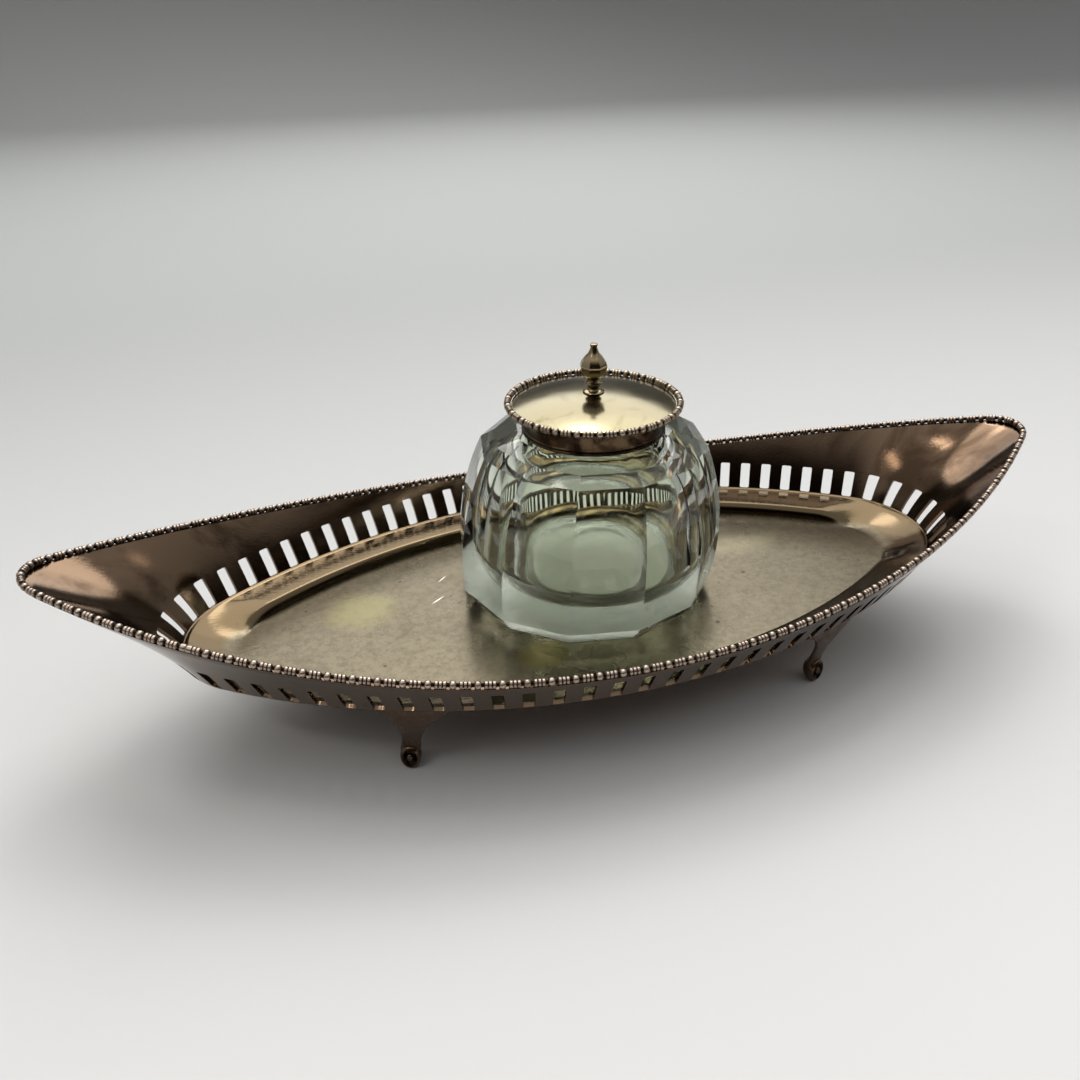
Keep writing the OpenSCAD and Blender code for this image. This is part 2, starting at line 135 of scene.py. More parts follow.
def grid_patch(
    grid: np.ndarray,
    close_rows: bool = False,
    close_columns: bool = False,
    depth: np.ndarray | None = None,
) -> Patch:
    """Join a grid of points into quads.

    Point (r, c) is numbered r * columns + c, and each quad joins (r, c), (r, c + 1),
    (r + 1, c + 1) and (r + 1, c). A closed direction also joins its last line to its first.

    Args:
        grid: points as rows by columns by 3.
        close_rows: join the last row to the first.
        close_columns: join the last column to the first.
        depth: groove depth as rows by columns.

    Returns:
        The patch.
    """
    rows, columns = grid.shape[:2]
    number = np.arange(rows * columns).reshape(rows, columns)
    if close_rows:
        number = np.vstack([number, number[:1]])
    if close_columns:
        number = np.hstack([number, number[:, :1]])
    quads = np.stack([number[:-1, :-1], number[:-1, 1:], number[1:, 1:], number[1:, :-1]], -1)
    values = np.zeros(rows * columns) if depth is None else np.asarray(depth, float).reshape(-1)
    return Patch(grid.reshape(-1, 3), quads.reshape(-1, 4), values)


def make_object(
    name: str,
    patches: list[Patch],
    material: bpy.types.Material,
    sharp_deg: float = 30.0,
) -> bpy.types.Object:
    """Make one closed object from patches whose edges meet.

    Points that fall together are merged, flat quads at poles collapse to triangles, and
    the faces are turned outwards.

    Args:
        name: the object's name.
        patches: the surfaces, in millimetres.
        material: its material.
        sharp_deg: edges that turn by more than this stay sharp.

    Returns:
        The object, at the origin and unturned, in metres.
    """
    starts = np.cumsum([0] + [len(p.points) for p in patches])
    points = np.vstack([p.points for p in patches]) * MM
    quads = np.vstack([p.quads + start for p, start in zip(patches, starts)])
    mesh = bpy.data.meshes.new(name)
    mesh.vertices.add(len(points))
    mesh.vertices.foreach_set("co", points.astype(np.float32).reshape(-1))
    mesh.loops.add(quads.size)
    mesh.loops.foreach_set("vertex_index", quads.astype(np.int32).reshape(-1))
    mesh.polygons.add(len(quads))
    mesh.polygons.foreach_set("loop_start", np.arange(0, quads.size, 4, dtype=np.int32))
    marks = {"groove": [p.depth for p in patches], "outer": [p.outer for p in patches]}
    for label, values in marks.items():
        filled = [v if len(v) else np.zeros(len(p.points)) for v, p in zip(values, patches)]
        attribute = mesh.attributes.new(label, "FLOAT", "POINT")
        attribute.data.foreach_set("value", np.concatenate(filled).astype(np.float32))
    mesh.update(calc_edges=True)
    shape = bmesh.new()
    shape.from_mesh(mesh)
    bmesh.ops.remove_doubles(shape, verts=shape.verts, dist=1e-6)
    bmesh.ops.dissolve_degenerate(shape, edges=shape.edges, dist=1e-7)
    bmesh.ops.recalc_face_normals(shape, faces=shape.faces)
    shape.to_mesh(mesh)
    shape.free()
    mesh.shade_smooth()
    mesh.set_sharp_from_angle(angle=math.radians(sharp_deg))
    mesh.materials.append(material)
    made = bpy.data.objects.new(name, mesh)
    bpy.context.scene.collection.objects.link(made)
    return made


def turned_grid(
    profile: np.ndarray, centre: tuple[float, float], segments: int = 96, sides: int = 0,
    flatness: np.ndarray | None = None, turn_deg: float = 0.0,
) -> np.ndarray:
    """Carry a profile round an upright axis.

    A point at radius r and angle a lies at r * (cos a, sin a). On a panelled ring the radius
    is scaled by cos(pi / sides) / cos(a mod (2 pi / sides) - pi / sides), which makes a
    regular polygon with its corners at radius r, and flatness mixes the two.

    Args:
        profile: radius and height of each ring.
        centre: the axis.
        segments: points in a ring, a multiple of sides.
        sides: number of flat panels, or 0 for none.
        flatness: for each ring, 1 for flat panels and 0 for a round.
        turn_deg: angle of the first panel corner.

    Returns:
        Points as rings by segments by 3.
    """
    angle = np.arange(segments) * 2 * np.pi / segments
    radius = np.repeat(profile[:, :1], segments, axis=1)
    if sides:
        panel = 2 * np.pi / sides
        chord = np.cos(panel / 2) / np.cos(np.mod(angle, panel) - panel / 2)
        share = np.ones(len(profile)) if flatness is None else flatness
        radius = radius * (1 + share[:, None] * (chord[None, :] - 1))
    turned = angle + math.radians(turn_deg)
    x = centre[0] + radius * np.cos(turned)
    y = centre[1] + radius * np.sin(turned)
    return np.stack([x, y, np.repeat(profile[:, 1:], segments, axis=1)], -1)


def dress(node: str, material: bpy.types.Material) -> None:
    """Give a carried-over node its material.

    Args:
        node: the node's name.
        material: its finish.
    """
    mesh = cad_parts[node].data
    mesh.materials.clear()
    mesh.materials.append(material)


# ---------------------------------------------------------------- finishes


@dataclass(frozen=True)
class Silver:
    """Old sterling silver, raised and planished by hand, never lacquered: warm, clouded and soft.

    Sulphide tarnish lies in clouds over the clean metal and thickest in grooves, so the eye
    gets a satin sheen that turns from champagne to brown within a few centimetres. The
    grooves are darkened to near black: tarnish together with painted shade.

    Attributes:
        name: the material's name.
        clean: hex colour of the metal where it is handled or rubbed.
        cloud: hex colour of light tarnish.
        deep: hex colour of heavy tarnish.
        pit: hex colour of the small pits.
        black: hex colour of the grooves, tarnish and painted shade together.
        cloud_mm: size of the tarnish clouds.
        cloud_share: how much of the surface they cover, 0 to 1.
        deep_share: how much of it is heavy, 0 to 1.
        rough: roughness where clean and where tarnished.
        spots: strength of the small dark pits.
        spot_mm: spacing of the pits.
        groove: how far the grooves are darkened, by tarnish and by painted shade.
        wave_mm: size of the hammer's waves.
        wave: strength of the hammer's waves.
        brushed_mm: spacing of the polishing marks.
        brushed: strength of the polishing marks.
    """

    name: str
    clean: str
    cloud: str
    deep: str
    pit: str = "3b2f22"
    black: str = "1d130d"
    cloud_mm: float = 18.0
    cloud_share: float = 0.5
    deep_share: float = 0.3
    rough: tuple[float, float] = (0.22, 0.42)
    spots: float = 0.6
    spot_mm: float = 9.0
    groove: float = 0.0
    wave_mm: float = 14.0
    wave: float = 0.15
    brushed_mm: float = 0.35
    brushed: float = 0.05

    def clouds(self, tree: bpy.types.NodeTree, place: bpy.types.NodeSocket) -> bpy.types.NodeSocket:
        """Lay the light tarnish clouds.

        Args:
            tree: the material's nodes.
            place: object coordinates.

        Returns:
            A value from 0 to 1 that changes over about one cloud.
        """
        return add_node(
            tree, "ShaderNodeTexNoise", None,
            {"Vector": place, "Scale": 1 / (self.cloud_mm * MM), "Detail": 6.0, "Roughness": 0.62,
             "Distortion": 0.6},
        ).outputs["Fac"]

    def colour(self, tree: bpy.types.NodeTree, place: bpy.types.NodeSocket) -> bpy.types.NodeSocket:
        """Mix the clean metal, light and heavy tarnish.

        The noise keeps to the middle of its range, so each share slides its threshold by
        half. Heavy tarnish lies in smears about twice as wide as a cloud.

        Args:
            tree: the material's nodes.
            place: object coordinates.

        Returns:
            The colour.
        """
        light_from = 0.78 - 0.5 * self.cloud_share
        deep_from = 0.8 - 0.5 * self.deep_share
        light_mask = add_node(
            tree, "ShaderNodeMapRange", {"interpolation_type": "SMOOTHSTEP"},
            {"Value": self.clouds(tree, place), "From Min": light_from,
             "From Max": 0.98 - 0.5 * self.cloud_share},
        ).outputs["Result"]
        smears = add_node(
            tree, "ShaderNodeTexNoise", None,
            {"Vector": place, "Scale": 1 / (self.cloud_mm * 1.9 * MM), "Detail": 8.0,
             "Roughness": 0.7, "Distortion": 1.2},
        ).outputs["Fac"]
        deep_mask = add_node(
            tree, "ShaderNodeMapRange", {"interpolation_type": "SMOOTHSTEP"},
            {"Value": smears, "From Min": deep_from, "From Max": 1.0 - 0.5 * self.deep_share},
        ).outputs["Result"]
        warm = add_node(
            tree, "ShaderNodeMix", {"data_type": "RGBA"},
            {"Factor": light_mask, "A": linear(self.clean), "B": linear(self.cloud)},
        ).outputs["Result"]
        return add_node(
            tree, "ShaderNodeMix", {"data_type": "RGBA"},
            {"Factor": deep_mask, "A": warm, "B": linear(self.deep)},
        ).outputs["Result"]

    def marked(
        self, tree: bpy.types.NodeTree, place: bpy.types.NodeSocket, colour: bpy.types.NodeSocket,
    ) -> bpy.types.NodeSocket:
        """Add the dark pits, and the black of the grooves, which is tarnish with painted shade.

        Args:
            tree: the material's nodes.
            place: object coordinates.
            colour: the colour under them.

        Returns:
            The colour with them.
        """
        pits = add_node(
            tree, "ShaderNodeTexVoronoi", {"feature": "F1"},
            {"Vector": place, "Scale": 1 / (self.spot_mm * MM)},
        ).outputs["Distance"]
        pit_mask = add_node(
            tree, "ShaderNodeMapRange", None,
            {"Value": pits, "From Min": 0.06, "From Max": 0.03, "To Max": self.spots},
        ).outputs["Result"]
        pitted = add_node(
            tree, "ShaderNodeMix", {"data_type": "RGBA"},
            {"Factor": pit_mask, "A": colour, "B": linear(self.pit)},
        ).outputs["Result"]
        # Grooves are darkened towards near black: tarnish, with painted shade for the crevices.
        groove = add_node(
            tree, "ShaderNodeAttribute",
            {"attribute_name": "groove", "attribute_type": "GEOMETRY"},
        ).outputs["Fac"]
        groove_tarnish_and_shade_mask = add_node(
            tree, "ShaderNodeMath", {"operation": "MULTIPLY", "use_clamp": True},
            {0: groove, 1: self.groove},
        ).outputs[0]
        return add_node(
            tree, "ShaderNodeMix", {"data_type": "RGBA"},
            {"Factor": groove_tarnish_and_shade_mask, "A": pitted, "B": linear(self.black)},
        ).outputs["Result"]

    def roughness(
        self, tree: bpy.types.NodeTree, place: bpy.types.NodeSocket,
    ) -> bpy.types.NodeSocket:
        """Make the surface duller where it is tarnished.

        Args:
            tree: the material's nodes.
            place: object coordinates.

        Returns:
            The roughness.
        """
        return add_node(
            tree, "ShaderNodeMapRange", None,
            {"Value": self.clouds(tree, place), "From Min": 0.3, "From Max": 0.7,
             "To Min": self.rough[0], "To Max": self.rough[1]},
        ).outputs["Result"]

    def relief(self, tree: bpy.types.NodeTree, place: bpy.types.NodeSocket) -> bpy.types.NodeSocket:
        """Add long polishing marks and the slow waves of the planishing hammer.

        Args:
            tree: the material's nodes.
            place: object coordinates.

        Returns:
            The bent normal.
        """
        along = add_node(
            tree, "ShaderNodeMapping", None, {"Vector": place, "Scale": (0.12, 1.0, 1.0)},
        ).outputs[0]
        marks = add_node(
            tree, "ShaderNodeTexNoise", None,
            {"Vector": along, "Scale": 1 / (self.brushed_mm * MM), "Detail": 2.0},
        ).outputs["Fac"]
        fine = add_node(
            tree, "ShaderNodeBump", None,
            {"Strength": self.brushed, "Distance": 0.1 * MM, "Height": marks},
        ).outputs["Normal"]
        waves = add_node(
            tree, "ShaderNodeTexNoise", None,
            {"Vector": place, "Scale": 1 / (self.wave_mm * MM), "Detail": 1.0, "Roughness": 0.3},
        ).outputs["Fac"]
        return add_node(
            tree, "ShaderNodeBump", None,
            {"Strength": self.wave, "Distance": 1.0 * MM, "Height": waves, "Normal": fine},
        ).outputs["Normal"]

    def build(self) -> bpy.types.Material:
        """Make the material.

        Returns:
            The material, with all its nodes.
        """
        material, tree = new_material(self.name)
        place = add_node(tree, "ShaderNodeTexCoord").outputs["Object"]
        shader = add_node(
            tree, "ShaderNodeBsdfPrincipled", None,
            {"Base Color": self.marked(tree, place, self.colour(tree, place)),
             "Roughness": self.roughness(tree, place), "Normal": self.relief(tree, place),
             "Metallic": 1.0},
        )
        add_node(tree, "ShaderNodeOutputMaterial", None, {"Surface": shader.outputs["BSDF"]})
        return material


@dataclass(frozen=True)
class Stain:
    """A mark left on the tray's floor by ink, water or a knock.

    Attributes:
        centre: its middle, in millimetres.
        half: its half length and half width.
        colour: hex colour.
        strength: how much of the metal it hides, 0 to 1.
        edge: share of its radius over which it fades.
        ragged: how far its edge wanders, as a share of its radius.
        turn_deg: turn of its length from the X axis.
    """

    centre: tuple[float, float]
    half: tuple[float, float]
    colour: str
    strength: float = 0.6
    edge: float = 0.5
    ragged: float = 0.5
    turn_deg: float = 0.0


@dataclass(frozen=True)
class TraySilver(Silver):
    """Sterling sheet of the tray, tarnished by how each face is handled, with painted shade on
    ledge and walls.

    The floor is wiped often and keeps a matt champagne colour under old stains. The ledge
    below the slots is rubbed to a coppery gloss that mirrors them, and its colour is darkened
    as painted shade that dims the lamps' reflection in it. The pierced walls and the prows have
    browned, and their colour is darkened further as painted shade that damps the lamps' sheen;
    the underside, never wiped, is the darkest.

    Attributes:
        ledge: hex colour of the step and ledge round the floor: coppery tarnish, darkened as
            painted shade.
        wall: hex colours of the walls, rubbed and browned, and darkened further as painted shade.
        under: hex colour of the outer faces.
        floor_z: height of the floor.
        ledge_z: heights between which the floor's colour turns to the ledge's.
        wall_z: heights between which the ledge's colour turns to the wall's.
        polish: roughness of ledge and walls, rubbed and browned.
        grain_mm: size of the fine mottling on the floor.
        grain: strength of that mottling.
        smoke_mm: size of the brown smears on the walls.
        stains: the marks on the floor.
    """

    ledge: str = "594c39"
    wall: tuple[str, str] = ("735f4d", "4a3a2d")
    under: str = "6f5b4a"
    floor_z: float = 18.5
    ledge_z: tuple[float, float] = (18.6, 19.4)
    wall_z: tuple[float, float] = (22.4, 23.0)
    polish: tuple[float, float] = (0.07, 0.15)
    grain_mm: float = 1.6
    grain: float = 0.55
    smoke_mm: float = 30.0
    stains: tuple[Stain, ...] = ()

    def above(
        self, tree: bpy.types.NodeTree, place: bpy.types.NodeSocket, heights: tuple[float, float],
    ) -> bpy.types.NodeSocket:
        """Mask what lies above a height.

        Args:
            tree: the material's nodes.
            place: object coordinates.
            heights: heights at which the mask is 0 and 1, in millimetres.

        Returns:
            The mask.
        """
        height = add_node(tree, "ShaderNodeSeparateXYZ", None, {"Vector": place}).outputs["Z"]
        return add_node(
            tree, "ShaderNodeMapRange", {"interpolation_type": "SMOOTHSTEP"},
            {"Value": height, "From Min": heights[0] * MM, "From Max": heights[1] * MM},
        ).outputs["Result"]

    def stained(
        self, tree: bpy.types.NodeTree, place: bpy.types.NodeSocket, colour: bpy.types.NodeSocket,
        stain: Stain,
    ) -> bpy.types.NodeSocket:
        """Add one stain.

        Its mask falls from 1 to 0 as the distance from its middle, in half sizes and shifted
        by noise, passes 1.

        Args:
            tree: the material's nodes.
            place: object coordinates.
            colour: the colour under it.
            stain: the stain.

        Returns:
            The colour with it.
        """
        centre = (stain.centre[0] * MM, stain.centre[1] * MM, self.floor_z * MM)
        spread = (stain.half[0] * MM, stain.half[1] * MM, 1.0 * MM)
        local = add_node(
            tree, "ShaderNodeMapping", {"vector_type": "TEXTURE"},
            {"Vector": place, "Location": centre, "Scale": spread,
             "Rotation": (0.0, 0.0, math.radians(stain.turn_deg))},
        ).outputs["Vector"]
        reach = add_node(
            tree, "ShaderNodeVectorMath", {"operation": "LENGTH"}, {0: local},
        ).outputs["Value"]
        wander = add_node(
            tree, "ShaderNodeTexNoise", None,
            {"Vector": local, "Scale": 1.1, "Detail": 4.0, "Roughness": 0.6},
        ).outputs["Fac"]
        wide = add_node(
            tree, "ShaderNodeMath", {"operation": "MULTIPLY_ADD"},
            {0: wander, 1: stain.ragged * 2, 2: reach},
        ).outputs[0]
        mask = add_node(
            tree, "ShaderNodeMapRange", {"interpolation_type": "SMOOTHSTEP"},
            {"Value": wide, "From Min": 1.0 + stain.ragged,
             "From Max": 1.0 + stain.ragged - stain.edge, "To Max": stain.strength},
        ).outputs["Result"]
        return add_node(
            tree, "ShaderNodeMix", {"data_type": "RGBA"},
            {"Factor": mask, "A": colour, "B": linear(stain.colour)},
        ).outputs["Result"]

    def colour(self, tree: bpy.types.NodeTree, place: bpy.types.NodeSocket) -> bpy.types.NodeSocket:
        """Mix the colours of floor, ledge, walls and underside.

        Args:
            tree: the material's nodes.
            place: object coordinates.

        Returns:
            The colour.
        """
        grain = add_node(
            tree, "ShaderNodeTexNoise", None,
            {"Vector": place, "Scale": 1 / (self.grain_mm * MM), "Detail": 5.0, "Roughness": 0.7},
        ).outputs["Fac"]
        grain_mask = add_node(
            tree, "ShaderNodeMapRange", None,
            {"Value": grain, "From Min": 0.42, "From Max": 0.68, "To Max": self.grain},
        ).outputs["Result"]
        floor = add_node(
            tree, "ShaderNodeMix", {"data_type": "RGBA"},
            {"Factor": grain_mask, "A": super().colour(tree, place), "B": linear(self.deep)},
        ).outputs["Result"]
        for stain in self.stains:
            floor = self.stained(tree, place, floor, stain)
        # The ledge's colour is coppery tarnish, darkened as painted shade that dims the lamps'
        # reflection in it.
        ledge = add_node(
            tree, "ShaderNodeMix", {"data_type": "RGBA"},
            {"Factor": self.above(tree, place, self.ledge_z), "A": floor, "B": linear(self.ledge)},
        ).outputs["Result"]
        smoke = add_node(
            tree, "ShaderNodeTexNoise", None,
            {"Vector": place, "Scale": 1 / (self.smoke_mm * MM), "Detail": 7.0, "Roughness": 0.6,
             "Distortion": 1.5},
        ).outputs["Fac"]
        smoke_mask = add_node(
            tree, "ShaderNodeMapRange", {"interpolation_type": "SMOOTHSTEP"},
            {"Value": smoke, "From Min": 0.42, "From Max": 0.66},
        ).outputs["Result"]
        # The walls' colours are browned tarnish, darkened as painted shade that damps the lamps'
        # sheen on them.
        wall = add_node(
            tree, "ShaderNodeMix", {"data_type": "RGBA"},
            {"Factor": smoke_mask, "A": linear(self.wall[0]), "B": linear(self.wall[1])},
        ).outputs["Result"]
        inside = add_node(
            tree, "ShaderNodeMix", {"data_type": "RGBA"},
            {"Factor": self.above(tree, place, self.wall_z), "A": ledge, "B": wall},
        ).outputs["Result"]
        outer = add_node(
            tree, "ShaderNodeAttribute",
            {"attribute_name": "outer", "attribute_type": "GEOMETRY"},
        ).outputs["Fac"]
        return add_node(
            tree, "ShaderNodeMix", {"data_type": "RGBA"},
            {"Factor": outer, "A": inside, "B": linear(self.under)},
        ).outputs["Result"]

    def roughness(
        self, tree: bpy.types.NodeTree, place: bpy.types.NodeSocket,
    ) -> bpy.types.NodeSocket:
        """Mix the matt of the floor and the gloss of ledge and walls.

        Args:
            tree: the material's nodes.
            place: object coordinates.

        Returns:
            The roughness.
        """
        glossy = add_node(
            tree, "ShaderNodeMapRange", None,
            {"Value": self.clouds(tree, place), "From Min": 0.3, "From Max": 0.7,
             "To Min": self.polish[0], "To Max": self.polish[1]},
        ).outputs["Result"]
        return add_node(
            tree, "ShaderNodeMix", {"data_type": "FLOAT"},
            {"Factor": self.above(tree, place, self.ledge_z),
             "A": super().roughness(tree, place), "B": glossy},
        ).outputs["Result"]


@dataclass(frozen=True)
class CutGlass:
    """Lead crystal, blown in a mould, then cut and polished: clear, heavy and a little green.

    Its index of about 1.5 gives bright edges and strong bending, and old polishing leaves a
    faint haze of fine scratches that softens the highlights.

    Attributes:
        name: the material's name.
        tint: hex colour of the light that passes.
        ior: index of refraction.
        rough: roughness of the polish, clean and hazed.
        haze_mm: size of the hazed patches.
        ground: roughness of the foot's underside, ground flat and worn.
        foot_z: height of that underside.
    """

    name: str = "lead_crystal_cut"
    tint: str = "eef4e6"
    ior: float = 1.5
    rough: tuple[float, float] = (0.03, 0.09)
    haze_mm: float = 12.0
    ground: float = 0.7
    foot_z: float = 18.55

    def build(self) -> bpy.types.Material:
        """Make the material.

        Returns:
            The material, with all its nodes.
        """
        material, tree = new_material(self.name)
        place = add_node(tree, "ShaderNodeTexCoord").outputs["Object"]
        haze = add_node(
            tree, "ShaderNodeTexNoise", None,
            {"Vector": place, "Scale": 1 / (self.haze_mm * MM), "Detail": 5.0},
        ).outputs["Fac"]
        polished = add_node(
            tree, "ShaderNodeMapRange", None,
            {"Value": haze, "From Min": 0.45, "From Max": 0.75, "To Min": self.rough[0],
             "To Max": self.rough[1]},
        ).outputs["Result"]
        height = add_node(tree, "ShaderNodeSeparateXYZ", None, {"Vector": place}).outputs["Z"]
        foot = add_node(
            tree, "ShaderNodeMapRange", {"interpolation_type": "SMOOTHSTEP"},
            {"Value": height, "From Min": (self.foot_z + 0.3) * MM,
             "From Max": (self.foot_z + 0.1) * MM},
        ).outputs["Result"]
        rough = add_node(
            tree, "ShaderNodeMix", {"data_type": "FLOAT"},
            {"Factor": foot, "A": polished, "B": self.ground},
        ).outputs["Result"]
        shader = add_node(
            tree, "ShaderNodeBsdfPrincipled", None,
            {"Base Color": linear(self.tint), "Roughness": rough, "IOR": self.ior,
             "Transmission Weight": 1.0},
        )
        add_node(tree, "ShaderNodeOutputMaterial", None, {"Surface": shader.outputs["BSDF"]})
        return material


@dataclass(frozen=True)
class Plaster:
    """Plaster of Paris, poured as bedding under the collar: matt, chalky and off-white.

    Attributes:
        name: the material's name.
        colour: hex colour of the set plaster.
        dust: hex colour of its darker grains.
        grain_mm: size of the grains.
    """

    name: str = "plaster_of_paris"
    colour: str = "dcd6c8"
    dust: str = "c4bba8"
    grain_mm: float = 0.6

    def build(self) -> bpy.types.Material:
        """Make the material.

        Returns:
            The material, with all its nodes.
        """
        material, tree = new_material(self.name)
        place = add_node(tree, "ShaderNodeTexCoord").outputs["Object"]
        grain = add_node(
            tree, "ShaderNodeTexNoise", None,
            {"Vector": place, "Scale": 1 / (self.grain_mm * MM), "Detail": 4.0},
        ).outputs["Fac"]
        colour = add_node(
            tree, "ShaderNodeMix", {"data_type": "RGBA"},
            {"Factor": grain, "A": linear(self.colour), "B": linear(self.dust)},
        ).outputs["Result"]
        relief = add_node(
            tree, "ShaderNodeBump", None, {"Strength": 0.3, "Distance": 0.1 * MM, "Height": grain},
        ).outputs["Normal"]
        shader = add_node(
            tree, "ShaderNodeBsdfPrincipled", None,
            {"Base Color": colour, "Roughness": 0.9, "Normal": relief},
        )
        add_node(tree, "ShaderNodeOutputMaterial", None, {"Surface": shader.outputs["BSDF"]})
        return material


# ---------------------------------------------------------------- tray


@dataclass(frozen=True)
class PlanLine:
    """A boat-shaped plan outline: two side arcs joined by two end arcs.

    Attributes:
        half_l: half length.
        half_w: half width.
        end_r: radius of the end arcs.
    """

    half_l: float
    half_w: float
    end_r: float

    @property
    def side_r(self) -> float:
        """Radius of the side arcs."""
        run, rise = self.half_l - self.end_r, self.half_w - self.end_r
        return (run**2 + rise**2) / (2 * rise) + self.end_r

    @property
    def end_turn(self) -> float:
        """Angle from the Y axis at which a side arc meets an end arc, in radians."""
        return math.asin((self.half_l - self.end_r) / (self.side_r - self.end_r))

    @property
    def side_len(self) -> float:
        """Length of half a side arc."""
        return self.side_r * self.end_turn

    @property
    def quarter_len(self) -> float:
        """Length of a quarter of the outline."""
        return self.side_len + self.end_r * (math.pi / 2 - self.end_turn)

    def at(self, s: np.ndarray) -> tuple[np.ndarray, np.ndarray]:
        """Find points of the first quarter.

        The point at arc length s lies where its arc has turned from the Y axis by s over the
        arc's radius, and the outward normal is (sin turn, cos turn).

        Args:
            s: arc lengths from the middle of a side.

        Returns:
            Points and outward normals, with a last axis of 2.
        """
        on_side = s <= self.side_len
        turn = np.where(on_side, s / self.side_r, self.end_turn + (s - self.side_len) / self.end_r)
        out = np.stack([np.sin(turn), np.cos(turn)], -1)
        side = self.side_r * out - [0.0, self.side_r - self.half_w]
        end = self.end_r * out + [self.half_l - self.end_r, 0.0]
        return np.where(on_side[..., None], side, end), out


class Border(Enum):
    """The border wire's soldered lengths, clockwise from the one at the back."""

    BACK = "back"
    RIGHT = "right"
    FRONT = "front"
    LEFT = "left"


class Side(Enum):
    """The tray's long sides, each with the sign of Y on it."""

    FRONT = -1.0
    BACK = 1.0


class Hand(Enum):
    """The tray's ends, each with the sign of X on it."""

    LEFT = -1.0
    RIGHT = 1.0


@dataclass(frozen=True)
class SheetRows:
    """Rows of the tray's sheet, from the middle of the floor up to the rim.

    Attributes:
        flat: shares of the way from the floor's middle to its outline.
        ledge: shares of the way from the floor's outline to the base line.
        low: shares of the plain strip between the base line and the slots.
        slot: shares of a slot's height.
        high: shares of the plain wall above the slots.
    """

    flat: np.ndarray
    ledge: np.ndarray
    low: np.ndarray
    slot: np.ndarray
    high: np.ndarray

    @property
    def wall_from(self) -> int:
        """First row of the wall."""
        return len(self.flat) + len(self.ledge)

    @property
    def slot_from(self) -> int:
        """Row along the feet of the slots."""
        return self.wall_from + len(self.low)

    @property
    def slot_to(self) -> int:
        """Row along the tops of the slots."""
        return self.slot_from + len(self.slot) - 1

    @property
    def count(self) -> int:
        """Number of rows."""
        return self.slot_to + 1 + len(self.high)


